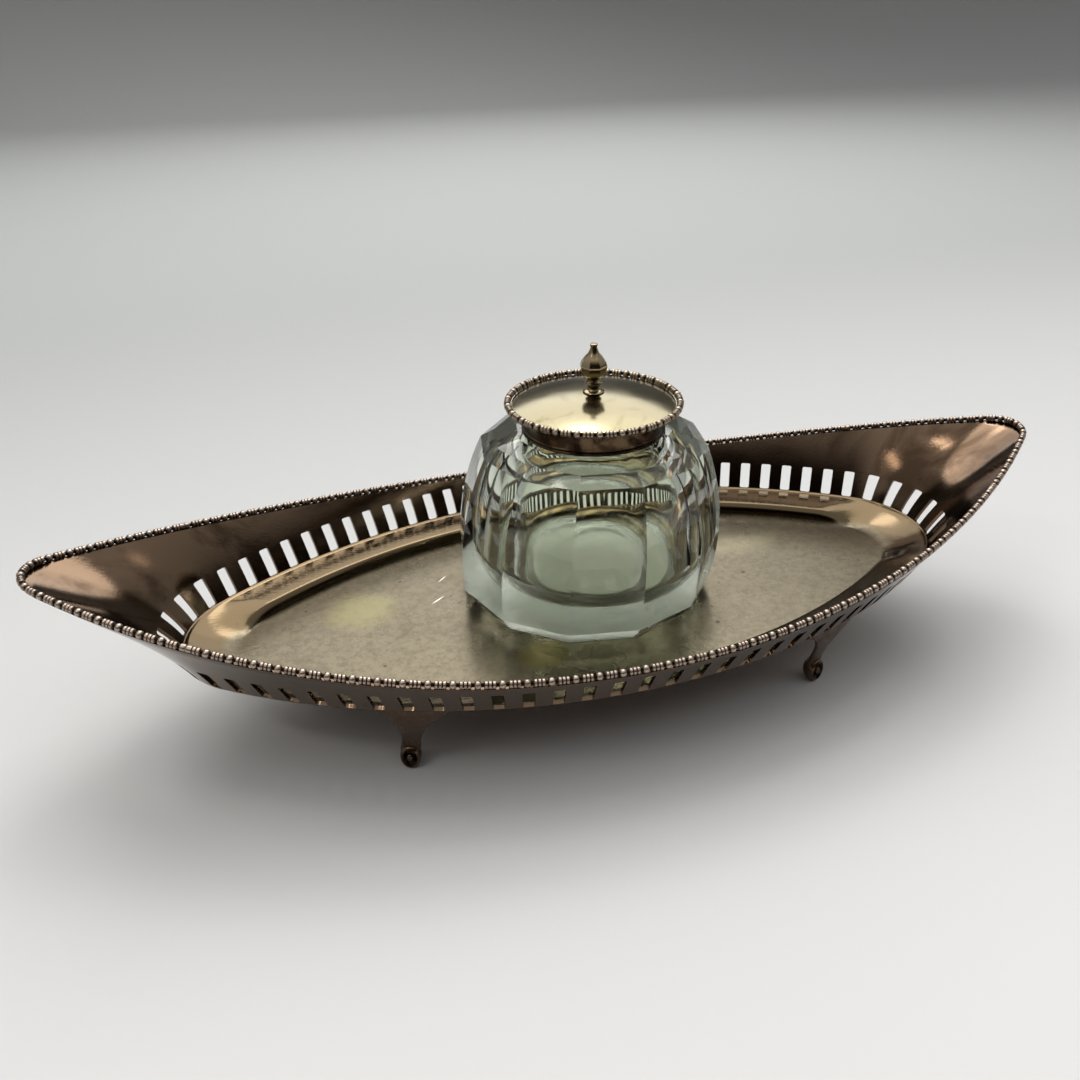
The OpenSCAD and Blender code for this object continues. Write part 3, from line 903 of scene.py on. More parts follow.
@dataclass
class Tray:
    """The pierced boat-shaped tray with its border wire and feet, all sizes in millimetres.

    Stations count clockwise round the tray from the middle of the back, one to a slot.

    Attributes:
        rim: outline of the wall's top.
        base: outline of the crease where the pierced wall starts.
        floor: outline of the flat floor.
        floor_z: height of the floor's upper face.
        step_rise: rise of the small step round the floor.
        ledge_rise: rise of the sloped ledge from the step to the base line.
        side_steps: points of the step between floor and ledge along a side, as shares of the
            width from floor to base line and of the step's rise.
        nose_bend: power of the hollow slope that takes the step's place at a nose.
        fade: shares of a quarter between which the step turns to that slope.
        wall_rise: height of the wall at the middle of a side.
        nose_rise: how much higher it stands at the noses.
        sweep_power: power by which the wall rises towards them.
        wall_lean: outward lean of the wall's foot, as a slope.
        sheet: thickness of the sheet.
        slots: number of slots, and of stations.
        slot_share: width of a slot as a share of its pitch.
        slot_h: height of a slot.
        slot_gap: plain strip between the base line and the slots.
        slot_slip: share of a pitch by which the hand-cut slots slip from an even row.
        slip_turn: where round the tray that slip is least, in radians.
        slot_round: radius of a slot's corners.
        edge_ease: share of the ledge's width over which the step's corners are eased.
        ridge: height of the soft ridge along the crease.
        wire_r: radius of the border's beads.
        wire_period: length of one bead and its three reels.
        wire_joint_at: whole slots from the middle of a side to a soldered joint.
        bed_gap: gap that the solder fills.
        foot_at: slots from the middle of a side to a foot.
        fan_w: width of a foot's fan.
        ankle_w: width of its strap at the ankle.
        strap_t: thickness of the strap.
        toe_in: how far the toe stands in from the base line.
        toe_side: how far it stands to the side of the fan's middle.
        toe_h: height of the toe.
        toe_r: radius of the toe.
        stains: marks on the floor.
    """

    rim: PlanLine = PlanLine(125.9, 51.4, 9.0)
    base: PlanLine = PlanLine(98.3, 46.8, 22.0)
    floor: PlanLine = PlanLine(86.4, 37.8, 15.0)
    floor_z: float = 18.5
    step_rise: float = 2.8
    ledge_rise: float = 1.2
    side_steps: tuple[tuple[float, float], ...] = ((0.0, 0.0), (0.05, 0.6), (0.16, 1.0))
    nose_bend: float = 1.65
    fade: tuple[float, float] = (0.8, 0.95)
    wall_rise: float = 8.1
    nose_rise: float = 16.6
    sweep_power: float = 2.1
    wall_lean: float = 0.5
    sheet: float = 0.9
    slots: int = 76
    slot_share: float = 0.43
    slot_h: float = 6.4
    slot_gap: float = 0.25
    slot_slip: float = 0.36
    slip_turn: float = math.radians(36)
    slot_round: float = 0.4
    edge_ease: float = 0.02
    ridge: float = 0.18
    wire_r: float = 0.9
    wire_period: float = 5.0
    wire_joint_at: int = 15
    bed_gap: float = 0.05
    foot_at: float = 8.5
    fan_w: float = 18.6
    ankle_w: float = 4.9
    strap_t: float = 1.4
    toe_in: float = 7.1
    toe_side: float = 3.1
    toe_h: float = 6.6
    toe_r: float = 2.4
    stains: tuple[Stain, ...] = (
        Stain((-56.2, 8.8), (12.0, 11.0), "857f58", 0.5, 0.7, 0.3),
        Stain((50.1, 8.8), (16.0, 8.0), "8f886c", 0.4, 0.8, 0.4),
        Stain((-17.8, -23.7), (7.0, 6.0), "6a5e38", 0.7, 0.25, 0.25),
        Stain((27.0, -24.1), (0.8, 0.8), "3a3226", 0.9, 0.6, 0.1),
        Stain((43.7, -4.9), (0.8, 0.8), "3a3226", 0.9, 0.6, 0.1),
        Stain((-44.6, 19.3), (0.6, 0.6), "3a3226", 0.8, 0.6, 0.1),
        Stain((-53.9, -16.4), (0.6, 0.6), "3a3226", 0.8, 0.6, 0.1),
        Stain((-36.7, 7.4), (2.9, 0.22), "efe8d2", 0.9, 0.7, 0.0, 36.0),
        Stain((-33.6, 17.2), (2.3, 0.2), "efe8d2", 0.8, 0.7, 0.0, 44.0),
    )

    def quarter_signs(self, k: np.ndarray) -> tuple[np.ndarray, np.ndarray]:
        """Fold stations into the first quarter.

        Args:
            k: stations, clockwise from the middle of the back.

        Returns:
            The share of a quarter from a side's middle to a nose, and the X and Y signs.
        """
        quarter = self.slots / 4
        number = np.floor(k / quarter).astype(int) % 4
        part = k / quarter - np.floor(k / quarter)
        share = np.where(number % 2 == 0, part, 1 - part)
        x_sign = np.where(number < 2, 1.0, -1.0)
        y_sign = np.where(number % 3 == 0, 1.0, -1.0)
        return share, np.stack([x_sign, y_sign], -1)

    def rim_s(self, s: np.ndarray) -> np.ndarray:
        """Match arc lengths of the base line to those of the rim.

        The wall leaves the end of the base line's side arc squarely, so that corner fixes one
        pair of lengths, and the lengths before and after it are matched in proportion.

        Args:
            s: arc lengths on the base line.

        Returns:
            Arc lengths on the rim.
        """
        corner, out = self.base.at(np.array(self.base.side_len))
        start = corner + [0.0, self.rim.side_r - self.rim.half_w]
        along = -start @ out + math.sqrt((start @ out) ** 2 - start @ start + self.rim.side_r**2)
        meet = start + along * out
        rim_side = self.rim.side_r * math.atan2(meet[0], meet[1])
        side, quarter = self.base.side_len, self.base.quarter_len
        rest = rim_side + (s - side) / (quarter - side) * (self.rim.quarter_len - rim_side)
        return np.where(s <= side, s / side * rim_side, rest)

    @property
    def base_z(self) -> float:
        """Height of the crease."""
        return self.floor_z + self.step_rise + self.ledge_rise

    def ledge_height(self, share: np.ndarray, way: np.ndarray) -> np.ndarray:
        """Height above the floor between floor line and base line.

        Along a side it runs straight from point to point of side_steps and on to the base
        line, with each corner eased by averaging it with the heights a little to both sides.
        At a nose it is rise * share^nose_bend, and an eased ramp mixes the two.

        Args:
            share: place from floor line to base line, 0 to 1.
            way: share of the way from the middle of a side to a nose.

        Returns:
            Heights above the floor.
        """
        at, up = np.array([*self.side_steps, (1.0, 1.0)]).T
        rise = self.step_rise * up
        rise[-1] += self.ledge_rise
        shifts = (-self.edge_ease, 0.0, self.edge_ease)
        low, mid, high = (np.interp(share + shift, at, rise) for shift in shifts)
        side = np.where(share > 0, (low + 2 * mid + high) / 4, 0.0)
        t = np.clip((way - self.fade[0]) / (self.fade[1] - self.fade[0]), 0, 1)
        nose = t * t * (3 - 2 * t)
        return side * (1 - nose) + rise[-1] * share**self.nose_bend * nose

    def lines(self, k: np.ndarray) -> dict[str, np.ndarray]:
        """Find where a section's three outlines pass at given stations.

        Args:
            k: stations.

        Returns:
            Points f, c and r on the floor, base and rim lines, the base line's outward normal
            "dir", the rim's "out", and the wall's height "rise".
        """
        share, signs = self.quarter_signs(k)
        s = share * self.base.quarter_len
        c, out = self.base.at(s)
        f, _ = self.floor.at(share * self.floor.quarter_len)
        r, rim_out = self.rim.at(self.rim_s(s))
        to_nose = np.abs(r[..., 0]) / self.rim.half_l
        rise = self.wall_rise + self.nose_rise * to_nose**self.sweep_power
        return {"f": f * signs, "c": c * signs, "r": r * signs, "dir": out * signs,
                "out": rim_out * signs, "rise": rise}

    def slipped(self, k: np.ndarray) -> np.ndarray:
        """Place the hand-cut slots: slot k slips back by slip * (1 - cos(2 pi k / slots + turn)).

        Args:
            k: slot numbers, clockwise from the middle of the back.

        Returns:
            Their stations.
        """
        return k - self.slot_slip * (1 - np.cos(2 * np.pi * k / self.slots + self.slip_turn))

    def slot_half(self, height: np.ndarray) -> np.ndarray:
        """Half width of a slot, in slot pitches.

        The corners are arcs: at d from an end the width is short by
        round * (1 - sqrt(1 - (1 - d / round)^2)).

        Args:
            height: height in the slot as a share; outside 0 to 1 the end's width is kept.

        Returns:
            Half widths.
        """
        pitch = 4 * self.base.quarter_len / self.slots
        end = np.clip(np.minimum(height, 1 - height) * self.slot_h / self.slot_round, 0, 1)
        return self.slot_share / 2 - self.slot_round / pitch * (1 - np.sqrt(1 - (1 - end) ** 2))

    def sheet_rows(self) -> SheetRows:
        """Space the sheet's rows, closest at the step, the crease and the slots' corners.

        Returns:
            The rows.
        """
        corner = np.array([0.0, 0.05, 0.15, 0.35, 0.65, 1.0]) * self.slot_round / self.slot_h
        return SheetRows(
            flat=np.array([0.0, 0.2, 0.4, 0.6, 0.8, 0.94, 0.99]),
            ledge=np.array([0.0, 0.02, 0.05, 0.08, 0.12, 0.16, 0.2, 0.27, 0.4, 0.6, 0.8, 0.9,
                            0.95, 0.975, 0.99]),
            low=np.array([0.0, 0.22, 0.5, 0.8]),
            slot=np.concatenate([corner, [0.3, 0.5, 0.7], 1 - corner[::-1]]),
            high=np.array([0.06, 0.15, 0.28, 0.42, 0.56, 0.7, 0.84, 0.94, 1.0]),
        )

    def sheet_stations(self, rows: SheetRows) -> np.ndarray:
        """Place the sheet's columns: four across each slot, then three across each bar.

        Args:
            rows: the sheet's rows.

        Returns:
            Stations as rows by columns.
        """
        in_slot = np.full(rows.count, -1.0)
        in_slot[rows.slot_from : rows.slot_to + 1] = rows.slot
        half = self.slot_half(in_slot)[:, None]
        across_slot = half * np.array([-1.0, -1 / 3, 1 / 3, 1.0])
        across_bar = half + (1 - 2 * half) * np.array([0.25, 0.5, 0.75])
        offsets = np.hstack([across_slot, across_bar])
        middle = self.slipped(np.arange(self.slots))
        return (middle[None, :, None] + offsets[:, None, :]).reshape(rows.count, -1)

    def inner_face(self, rows: SheetRows, k: np.ndarray, at: dict[str, np.ndarray]) -> np.ndarray:
        """Place the points of the inner face.

        Floor rows are the floor line shrunk to the middle, and ledge rows follow
        ledge_height() from floor line to base line. Wall rows follow the quadratic curve
        (1 - u)^2 c + 2 u (1 - u) m + u^2 r from base line c to rim r, with m out from c so
        that the wall starts at its lean.

        Args:
            rows: the sheet's rows.
            k: stations.
            at: the outlines there, from lines().

        Returns:
            Points as rows by columns by 3.
        """
        slots, above = slice(rows.slot_from, rows.slot_to + 1), slice(rows.slot_to + 1, rows.count)
        slot_top = self.slot_gap + self.slot_h
        height = np.zeros(k.shape)
        height[rows.wall_from : rows.slot_from] = self.slot_gap * rows.low[:, None]
        height[slots] = self.slot_gap + self.slot_h * rows.slot[:, None]
        height[above] = slot_top + (at["rise"][above] - slot_top) * rows.high[:, None]
        inner = np.zeros((*k.shape, 3))
        flat = slice(0, len(rows.flat))
        inner[flat, :, :2] = at["f"][flat] * rows.flat[:, None, None]
        inner[flat, :, 2] = self.floor_z
        ledge = slice(len(rows.flat), rows.wall_from)
        f, c = at["f"][ledge], at["c"][ledge]
        inner[ledge, :, :2] = f + (c - f) * rows.ledge[:, None, None]
        way, _ = self.quarter_signs(k[ledge])
        inner[ledge, :, 2] = self.floor_z + self.ledge_height(rows.ledge[:, None], way)
        wall = slice(rows.wall_from, rows.count)
        c, r, rise = at["c"][wall], at["r"][wall], at["rise"][wall]
        u = (height[wall] / rise)[..., None]
        mid = c + at["dir"][wall] * self.wall_lean * rise[..., None] / 2
        inner[wall, :, :2] = (1 - u) ** 2 * c + 2 * u * (1 - u) * mid + u**2 * r
        inner[wall, :, 2] = self.base_z + height[wall]
        return inner

    def outward(self, rows: SheetRows, inner: np.ndarray, rim_out: np.ndarray) -> np.ndarray:
        """Find the sheet's outward normals: the step up the face crossed with the step along it.

        They point straight down under the floor and lie level at the rim.

        Args:
            rows: the sheet's rows.
            inner: points of the inner face.
            rim_out: level outward normals along the rim.

        Returns:
            Unit normals, one to a point.
        """
        along = np.roll(inner, -1, axis=1) - np.roll(inner, 1, axis=1)
        out = np.cross(np.gradient(inner, axis=0), along)
        out /= np.maximum(np.linalg.norm(out, axis=-1, keepdims=True), 1e-9)
        out[: len(rows.flat)] = [0.0, 0.0, -1.0]
        out[-1, :, :2] = rim_out
        out[-1, :, 2] = 0.0
        return out

    def sheet_quads(self, rows: SheetRows, columns: int) -> np.ndarray:
        """Join both faces, leave the slots open, and wall the slots' edges and the rim.

        Point (r, c) of the inner face is numbered r * columns + c, and the outer face's
        numbers go on from there.

        Args:
            rows: the sheet's rows.
            columns: number of columns.

        Returns:
            Four point numbers a row.
        """
        number = np.arange(rows.count * columns).reshape(rows.count, columns)
        shift, across, per = number.size, 4, columns // self.slots
        beside = np.roll(number, -1, axis=1)
        cells = np.stack([number[:-1], beside[:-1], beside[1:], number[1:]], -1)
        cut = np.zeros((rows.count - 1, columns), bool)
        cut[rows.slot_from : rows.slot_to] = (np.arange(columns) % per < across - 1)[None, :]
        kept = cells[~cut]
        cheeks = number[rows.slot_from : rows.slot_to + 1]
        edges = [number[-1], *cheeks[:, 0::per].T, *cheeks[:, across - 1 :: per].T]
        for row in (rows.slot_from, rows.slot_to):
            edges += list(number[row].reshape(self.slots, per)[:, :across])
        walls = [np.stack([e[:-1], e[1:], e[1:] + shift, e[:-1] + shift], -1) for e in edges]
        last, first = number[-1, -1], number[-1, 0]
        walls.append(np.array([[last, first, first + shift, last + shift]]))
        return np.vstack([kept, kept + shift, *walls])

    def sheet_object(self, material: bpy.types.Material) -> bpy.types.Object:
        """Make the pierced sheet.

        The outer face lies one thickness outwards from inner_face(), and a soft ridge stands
        along the crease on the inner face.

        Args:
            material: the sheet's silver.

        Returns:
            The object.
        """
        rows = self.sheet_rows()
        k = self.sheet_stations(rows)
        at = self.lines(k)
        inner = self.inner_face(rows, k, at)
        out = self.outward(rows, inner, at["out"][-1])
        outer = inner + self.sheet * out
        crease = np.zeros(rows.count)
        swell = np.array([0.25, 0.7, 0.95, 1.0, 0.55, 0.15])
        crease[rows.wall_from - 3 : rows.wall_from + 3] = swell * self.ridge
        inner -= out * crease[:, None, None]
        both = np.vstack([inner.reshape(-1, 3), outer.reshape(-1, 3)])
        is_outer = np.repeat([0.0, 1.0], k.size)
        patch = Patch(both, self.sheet_quads(rows, k.shape[1]), outer=is_outer)
        return make_object("tray_sheet", [patch], material, sharp_deg=32.0)

    def wire_path(self) -> tuple[np.ndarray, np.ndarray, np.ndarray, np.ndarray]:
        """Sample the border wire's centre line, which stands sunk a tenth into the solder.

        Returns:
            Stations, arc lengths, centre points and outward normals, from station 0 once round.
        """
        samples, sunk = 6001, 0.9
        k = np.linspace(0, self.slots, samples)
        at = self.lines(np.minimum(k, self.slots - 1e-9))
        centre = np.zeros((len(k), 3))
        centre[:, :2] = at["r"] + at["out"] * self.sheet / 2
        centre[:, 2] = self.base_z + at["rise"] + self.bed_gap + self.wire_r * sunk
        steps = np.linalg.norm(np.diff(centre, axis=0), axis=1)
        return k, np.concatenate([[0.0], np.cumsum(steps)]), centre, at["out"]

    def wire_object(
        self, name: str, start: float, stop: float, material: bpy.types.Material,
    ) -> bpy.types.Object:
        """Make one soldered length of the border wire.

        Rings of the radius that bead_rings() gives stand square to the rim's curve, at
        centre + radius * (cos a * outward + sin a * upward), closed by a point at each end.

        Args:
            name: the object's name.
            start: first station.
            stop: last station.
            material: its silver.

        Returns:
            The object.
        """
        k, length, centre, out = self.wire_path()
        total, reach = length[-1], 0.2
        s0 = np.interp(start % self.slots, k, length)
        s1 = np.interp(stop % self.slots, k, length)
        s, radius = bead_rings((s1 - s0) % total, self.wire_period, self.wire_r)
        where = (s0 + s) % total
        onward = (where + reach) % total
        ring = np.stack([np.interp(where, length, centre[:, i]) for i in range(3)], -1)
        ahead = np.stack([np.interp(onward, length, centre[:, i]) for i in range(3)], -1) - ring
        level = [np.interp(where, length, out[:, i]) for i in range(2)]
        side = np.stack([*level, np.zeros(len(s))], -1)
        ahead /= np.linalg.norm(ahead, axis=1, keepdims=True)
        side -= ahead * np.sum(side * ahead, axis=1, keepdims=True)
        side /= np.linalg.norm(side, axis=1, keepdims=True)
        up = np.cross(ahead, side)
        patch = bead_patch(ring, side, up, radius, self.wire_r)
        return make_object(name, [patch], material, sharp_deg=50.0)

    def foot_place(self) -> tuple[np.ndarray, np.ndarray, np.ndarray, np.ndarray]:
        """Find where a foot meets the tray, in the quarter where X and Y are above 0.

        Returns:
            The foot's place on the base line, the outward normal there, and, as out and up
            from that place, the ledge's slope and the middle of the fan's top edge.
        """
        s = np.array(self.foot_at * 4 * self.base.quarter_len / self.slots)
        place, out = self.base.at(s)
        share = s / self.base.quarter_len
        f, _ = self.floor.at(share * self.floor.quarter_len)
        ledge_w = (place - f) @ out * (1 - self.side_steps[-1][0])
        slope = np.array([ledge_w, self.ledge_rise])
        slope /= np.linalg.norm(slope)
        below = (self.sheet + self.bed_gap) * np.array([slope[1], -slope[0]])
        seat = np.array([0.0, self.base_z]) + below
        tucked = 0.65
        return place, out, slope, seat - slope * self.strap_t * tucked

    def strap_grid(self, slope: np.ndarray, top: np.ndarray) -> np.ndarray:
        """Place a foot's strap: a chain of superellipse rings, closed by a point at each end.

        A share t of the way up, its half width is ankle / 2 + (fan - ankle) / 2 * t^3.5 less
        a slight waist, its centre line is an eased curve from the ankle to the ledge, and
        the last rings turn until they lie along the ledge's outer face.

        Args:
            slope: the ledge's slope, as out and up.
            top: the middle of the fan's top edge, as out and up.

        Returns:
            Points as rings by segments by 3: to the side, out and up.
        """
        t = np.concatenate([np.linspace(0, 1, 26), [1.0]])
        ease = t * t * (3 - 2 * t)
        ankle = np.array([-self.toe_in, self.toe_h * 0.7])
        y = ankle[0] + (top[0] - ankle[0]) * (0.35 * ease + 0.65 * t)
        z = ankle[1] + (top[1] - ankle[1]) * t
        mix = np.clip((t - 0.6) / 0.4, 0, 1)[:, None]
        across = (1 - mix) * np.array([[1.0, -0.35]]) + mix * slope[None, :]
        across /= np.linalg.norm(across, axis=1, keepdims=True)
        half = self.ankle_w / 2 * (1 - 0.12 * np.exp(-(((t - 0.25) / 0.2) ** 2)))
        half = half + (self.fan_w - self.ankle_w) / 2 * t**3.5
        thick = np.full(len(t), self.strap_t / 2) * (1 + 0.5 * np.exp(-(t / 0.15) ** 2))
        half[-1], thick[-1] = 0.0, 0.0
        half, thick = np.concatenate([[0.0], half]), np.concatenate([[0.0], thick])
        y, z = np.concatenate([[y[0]], y]), np.concatenate([[z[0]], z])
        t, across = np.concatenate([[0.0], t]), np.vstack([across[:1], across])
        sides, squareness = 28, 0.7
        angle = np.arange(sides) * 2 * np.pi / sides
        shape = np.stack([np.cos(angle), np.sin(angle)], -1)
        shape = np.sign(shape) * np.abs(shape) ** squareness
        x = half[:, None] * shape[None, :, 0]
        bow = -(x**2) / (2 * self.base.side_r) * (t[:, None] ** 2)
        offset = thick[:, None] * shape[None, :, 1]
        aside = x + self.toe_side * (1 - t)[:, None]
        out = y[:, None] + offset * across[:, :1] + bow
        return np.stack([aside, out, z[:, None] + offset * across[:, 1:]], -1)

    def toe_patch(self) -> Patch:
        """Place a foot's toe: an upright pad with a hollow front and a boss in the hollow.

        A profile of radius and depth, both as shares, is carried round an ellipse of the
        toe's width and height that stands on the table.

        Returns:
            The patch, with its points to the side, out and up.
        """
        sides = 32
        size = np.array([0.0, 0.5, 0.8, 0.97, 1.0, 0.98, 0.9, 0.78, 0.66, 0.56, 0.44, 0.36, 0.32,
                         0.28, 0.18, 0.0])
        depth = np.array([-1.0, -0.88, -0.62, -0.2, 0.15, 0.55, 0.8, 0.9, 0.84, 0.62, 0.5, 0.55,
                          0.72, 0.88, 0.98, 1.0])
        turn = np.arange(sides) * 2 * np.pi / sides
        up = np.maximum(self.toe_h / 2 * (1 + size[:, None] * np.sin(turn)[None, :]), 0.0)
        aside = self.toe_side + self.toe_r * size[:, None] * np.cos(turn)[None, :]
        out = -self.toe_in + self.toe_r * 0.9 * np.repeat(depth[:, None], sides, axis=1)
        # The pad's hollow front is marked as a groove, so its colour is darkened: tarnish with
        # painted shade.
        hollow = np.where((size > 0.3) & (size < 0.72) & (depth > 0.3), 1.0, 0.0)
        groove = np.repeat(hollow[:, None], sides, axis=1)
        return grid_patch(np.stack([aside, out, up], -1), close_columns=True, depth=groove)

    def foot_object(
        self, name: str, hand: Hand, side: Side, material: bpy.types.Material,
    ) -> bpy.types.Object:
        """Make one foot: a strap with a fan top, and a pad toe.

        Args:
            name: the object's name.
            hand: the end of the tray it stands near.
            side: the long side it stands on.
            material: its silver.

        Returns:
            The object.
        """
        place, out, slope, top = self.foot_place()
        strap = grid_patch(self.strap_grid(slope, top), close_columns=True)
        patches = [strap, self.toe_patch()]
        to_side = np.array([[out[1], -out[0]]])
        for patch in patches:
            local = patch.points.copy()
            spot = place[None, :] + local[:, :1] * to_side + local[:, 1:2] * out[None, :]
            patch.points = np.column_stack([spot * [hand.value, side.value], local[:, 2]])
        return make_object(name, patches, material, sharp_deg=40.0)

    def build(self) -> list[bpy.types.Object]:
        """Make and dress the tray, its wire and its feet.

        Returns:
            The new objects.
        """
        # The ledge and wall colours are partly painted shade, set darker to dim the lamps'
        # reflections in them.
        sheet = TraySilver(
            "sterling_sheet_worn", "6b6352", "605847", "464033", wave_mm=22.0, wave=0.1, spots=0.8,
            rough=(0.24, 0.32), brushed=0.15, floor_z=self.floor_z, stains=self.stains).build()
        wire = Silver(
            "sterling_border_cast", "bba999", "958373", "584a3e", cloud_mm=6.0, groove=1.0,
            wave=0.05, spots=0.0, rough=(0.28, 0.42)).build()
        cast = Silver(
            "sterling_foot_cast", "6a5646", "4d3a2b", "2a1d15", cloud_mm=5.0, groove=0.8,
            wave=0.1, wave_mm=4.0, rough=(0.2, 0.36)).build()
        made = [self.sheet_object(sheet)]
        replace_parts(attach(made[0], "tray"), "tray_body")
        joint, half = self.wire_joint_at, self.slots // 2
        ends = (-joint - 1, joint, half - joint - 1, half + joint, self.slots - joint - 1)
        joints = self.slipped(np.array(ends)) + 0.5
        for border, start, stop in zip(Border, joints[:-1], joints[1:]):
            side = border.value
            piece = self.wire_object(f"border_{side}", start, stop, wire)
            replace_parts(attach(piece, "tray"), f"rim_wire_{side}")
            made.append(piece)
        for long_side in Side:
            for end in Hand:
                side, hand = long_side.name.lower(), end.name.lower()
                piece = self.foot_object(f"scroll_foot_{side}_{hand}", end, long_side, cast)
                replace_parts(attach(piece, "tray"), f"foot_{side}_{hand}")
                made.append(piece)
        return made


def bead_rings(span: float, period: float, radius: float) -> tuple[np.ndarray, np.ndarray]:
    """Lay out a bead-and-reel pattern along a wire.

    A period holds one bead, an ellipse over its first 27 per cent, and three reels, flat discs
    with rounded edges over 39 to 88 per cent. Between them the wire's core shows. A lump of
    solder hides the pattern at both ends.

    Args:
        span: length of the wire; the period is eased to fit it a whole number of times.
        period: length of one bead and its three reels.
        radius: largest radius.

    Returns:
        Places along the wire and the radius at each, closed to a point at both ends.
    """
    reel_from, reel_w, bead_half = 0.39, 0.1633, 0.135
    end, lump_run, lump_r, end_r = 0.02, 0.9, 0.9, 0.8
    count = max(1, round(span / period))
    step = span / count
    turn = np.linspace(0, np.pi, 6)
    oval = 0.55 + 0.45 * np.sin(turn) ** 0.8
    bead = np.stack([bead_half - bead_half * np.cos(turn), oval], -1)
    reel = np.array([[0.0, 0.6], [0.22, 0.92], [0.78, 0.92], [1.0, 0.6]])
    reels = [
        np.column_stack([reel_from + reel_w * i + reel_w * reel[:, 0] * 0.999, reel[:, 1]])
        for i in range(3)
    ]
    one = np.vstack([bead, [[0.29, 0.5], [0.37, 0.5]], *reels, [[0.9, 0.5], [0.98, 0.5]]])
    place = (np.arange(count)[:, None] + one[None, :, 0]).reshape(-1) * step
    size = np.tile(one[:, 1], count) * radius
    lump = np.minimum(place, span - place) < lump_run
    size = np.where(lump, radius * lump_r, size)
    place = np.concatenate([[end, end], place[1:], [span - end, span - end]])
    size = np.concatenate([[0.0, radius * end_r], size[1:], [radius * end_r, 0.0]])
    return place, size


def bead_patch(
    ring: np.ndarray, side: np.ndarray, up: np.ndarray, radius: np.ndarray, full: float,
) -> Patch:
    """Sweep round sections along a wire.

    Each point is ring + radius * (cos a * side + sin a * up).

    Args:
        ring: centre points.
        side: unit vectors square to the wire.
        up: unit vectors square to both.
        radius: radius of each section.
        full: the largest radius, at which the groove depth is 0.

    Returns:
        The patch, with groove depth 1 at half the full radius.
    """
    sides = 10
    angle = (np.arange(sides) * 2 * np.pi / sides)[None, :, None]
    spoke = np.cos(angle) * side[:, None, :] + np.sin(angle) * up[:, None, :]
    grid = ring[:, None, :] + radius[:, None, None] * spoke
    # The narrow core between beads and reels is marked as a groove, so its colour is darkened:
    # tarnish with painted shade.
    depth = np.clip((1 - radius / full) * 2, 0, 1)
    return grid_patch(grid, close_columns=True, depth=np.repeat(depth[:, None], sides, axis=1))


# ---------------------------------------------------------------- bottle and lid


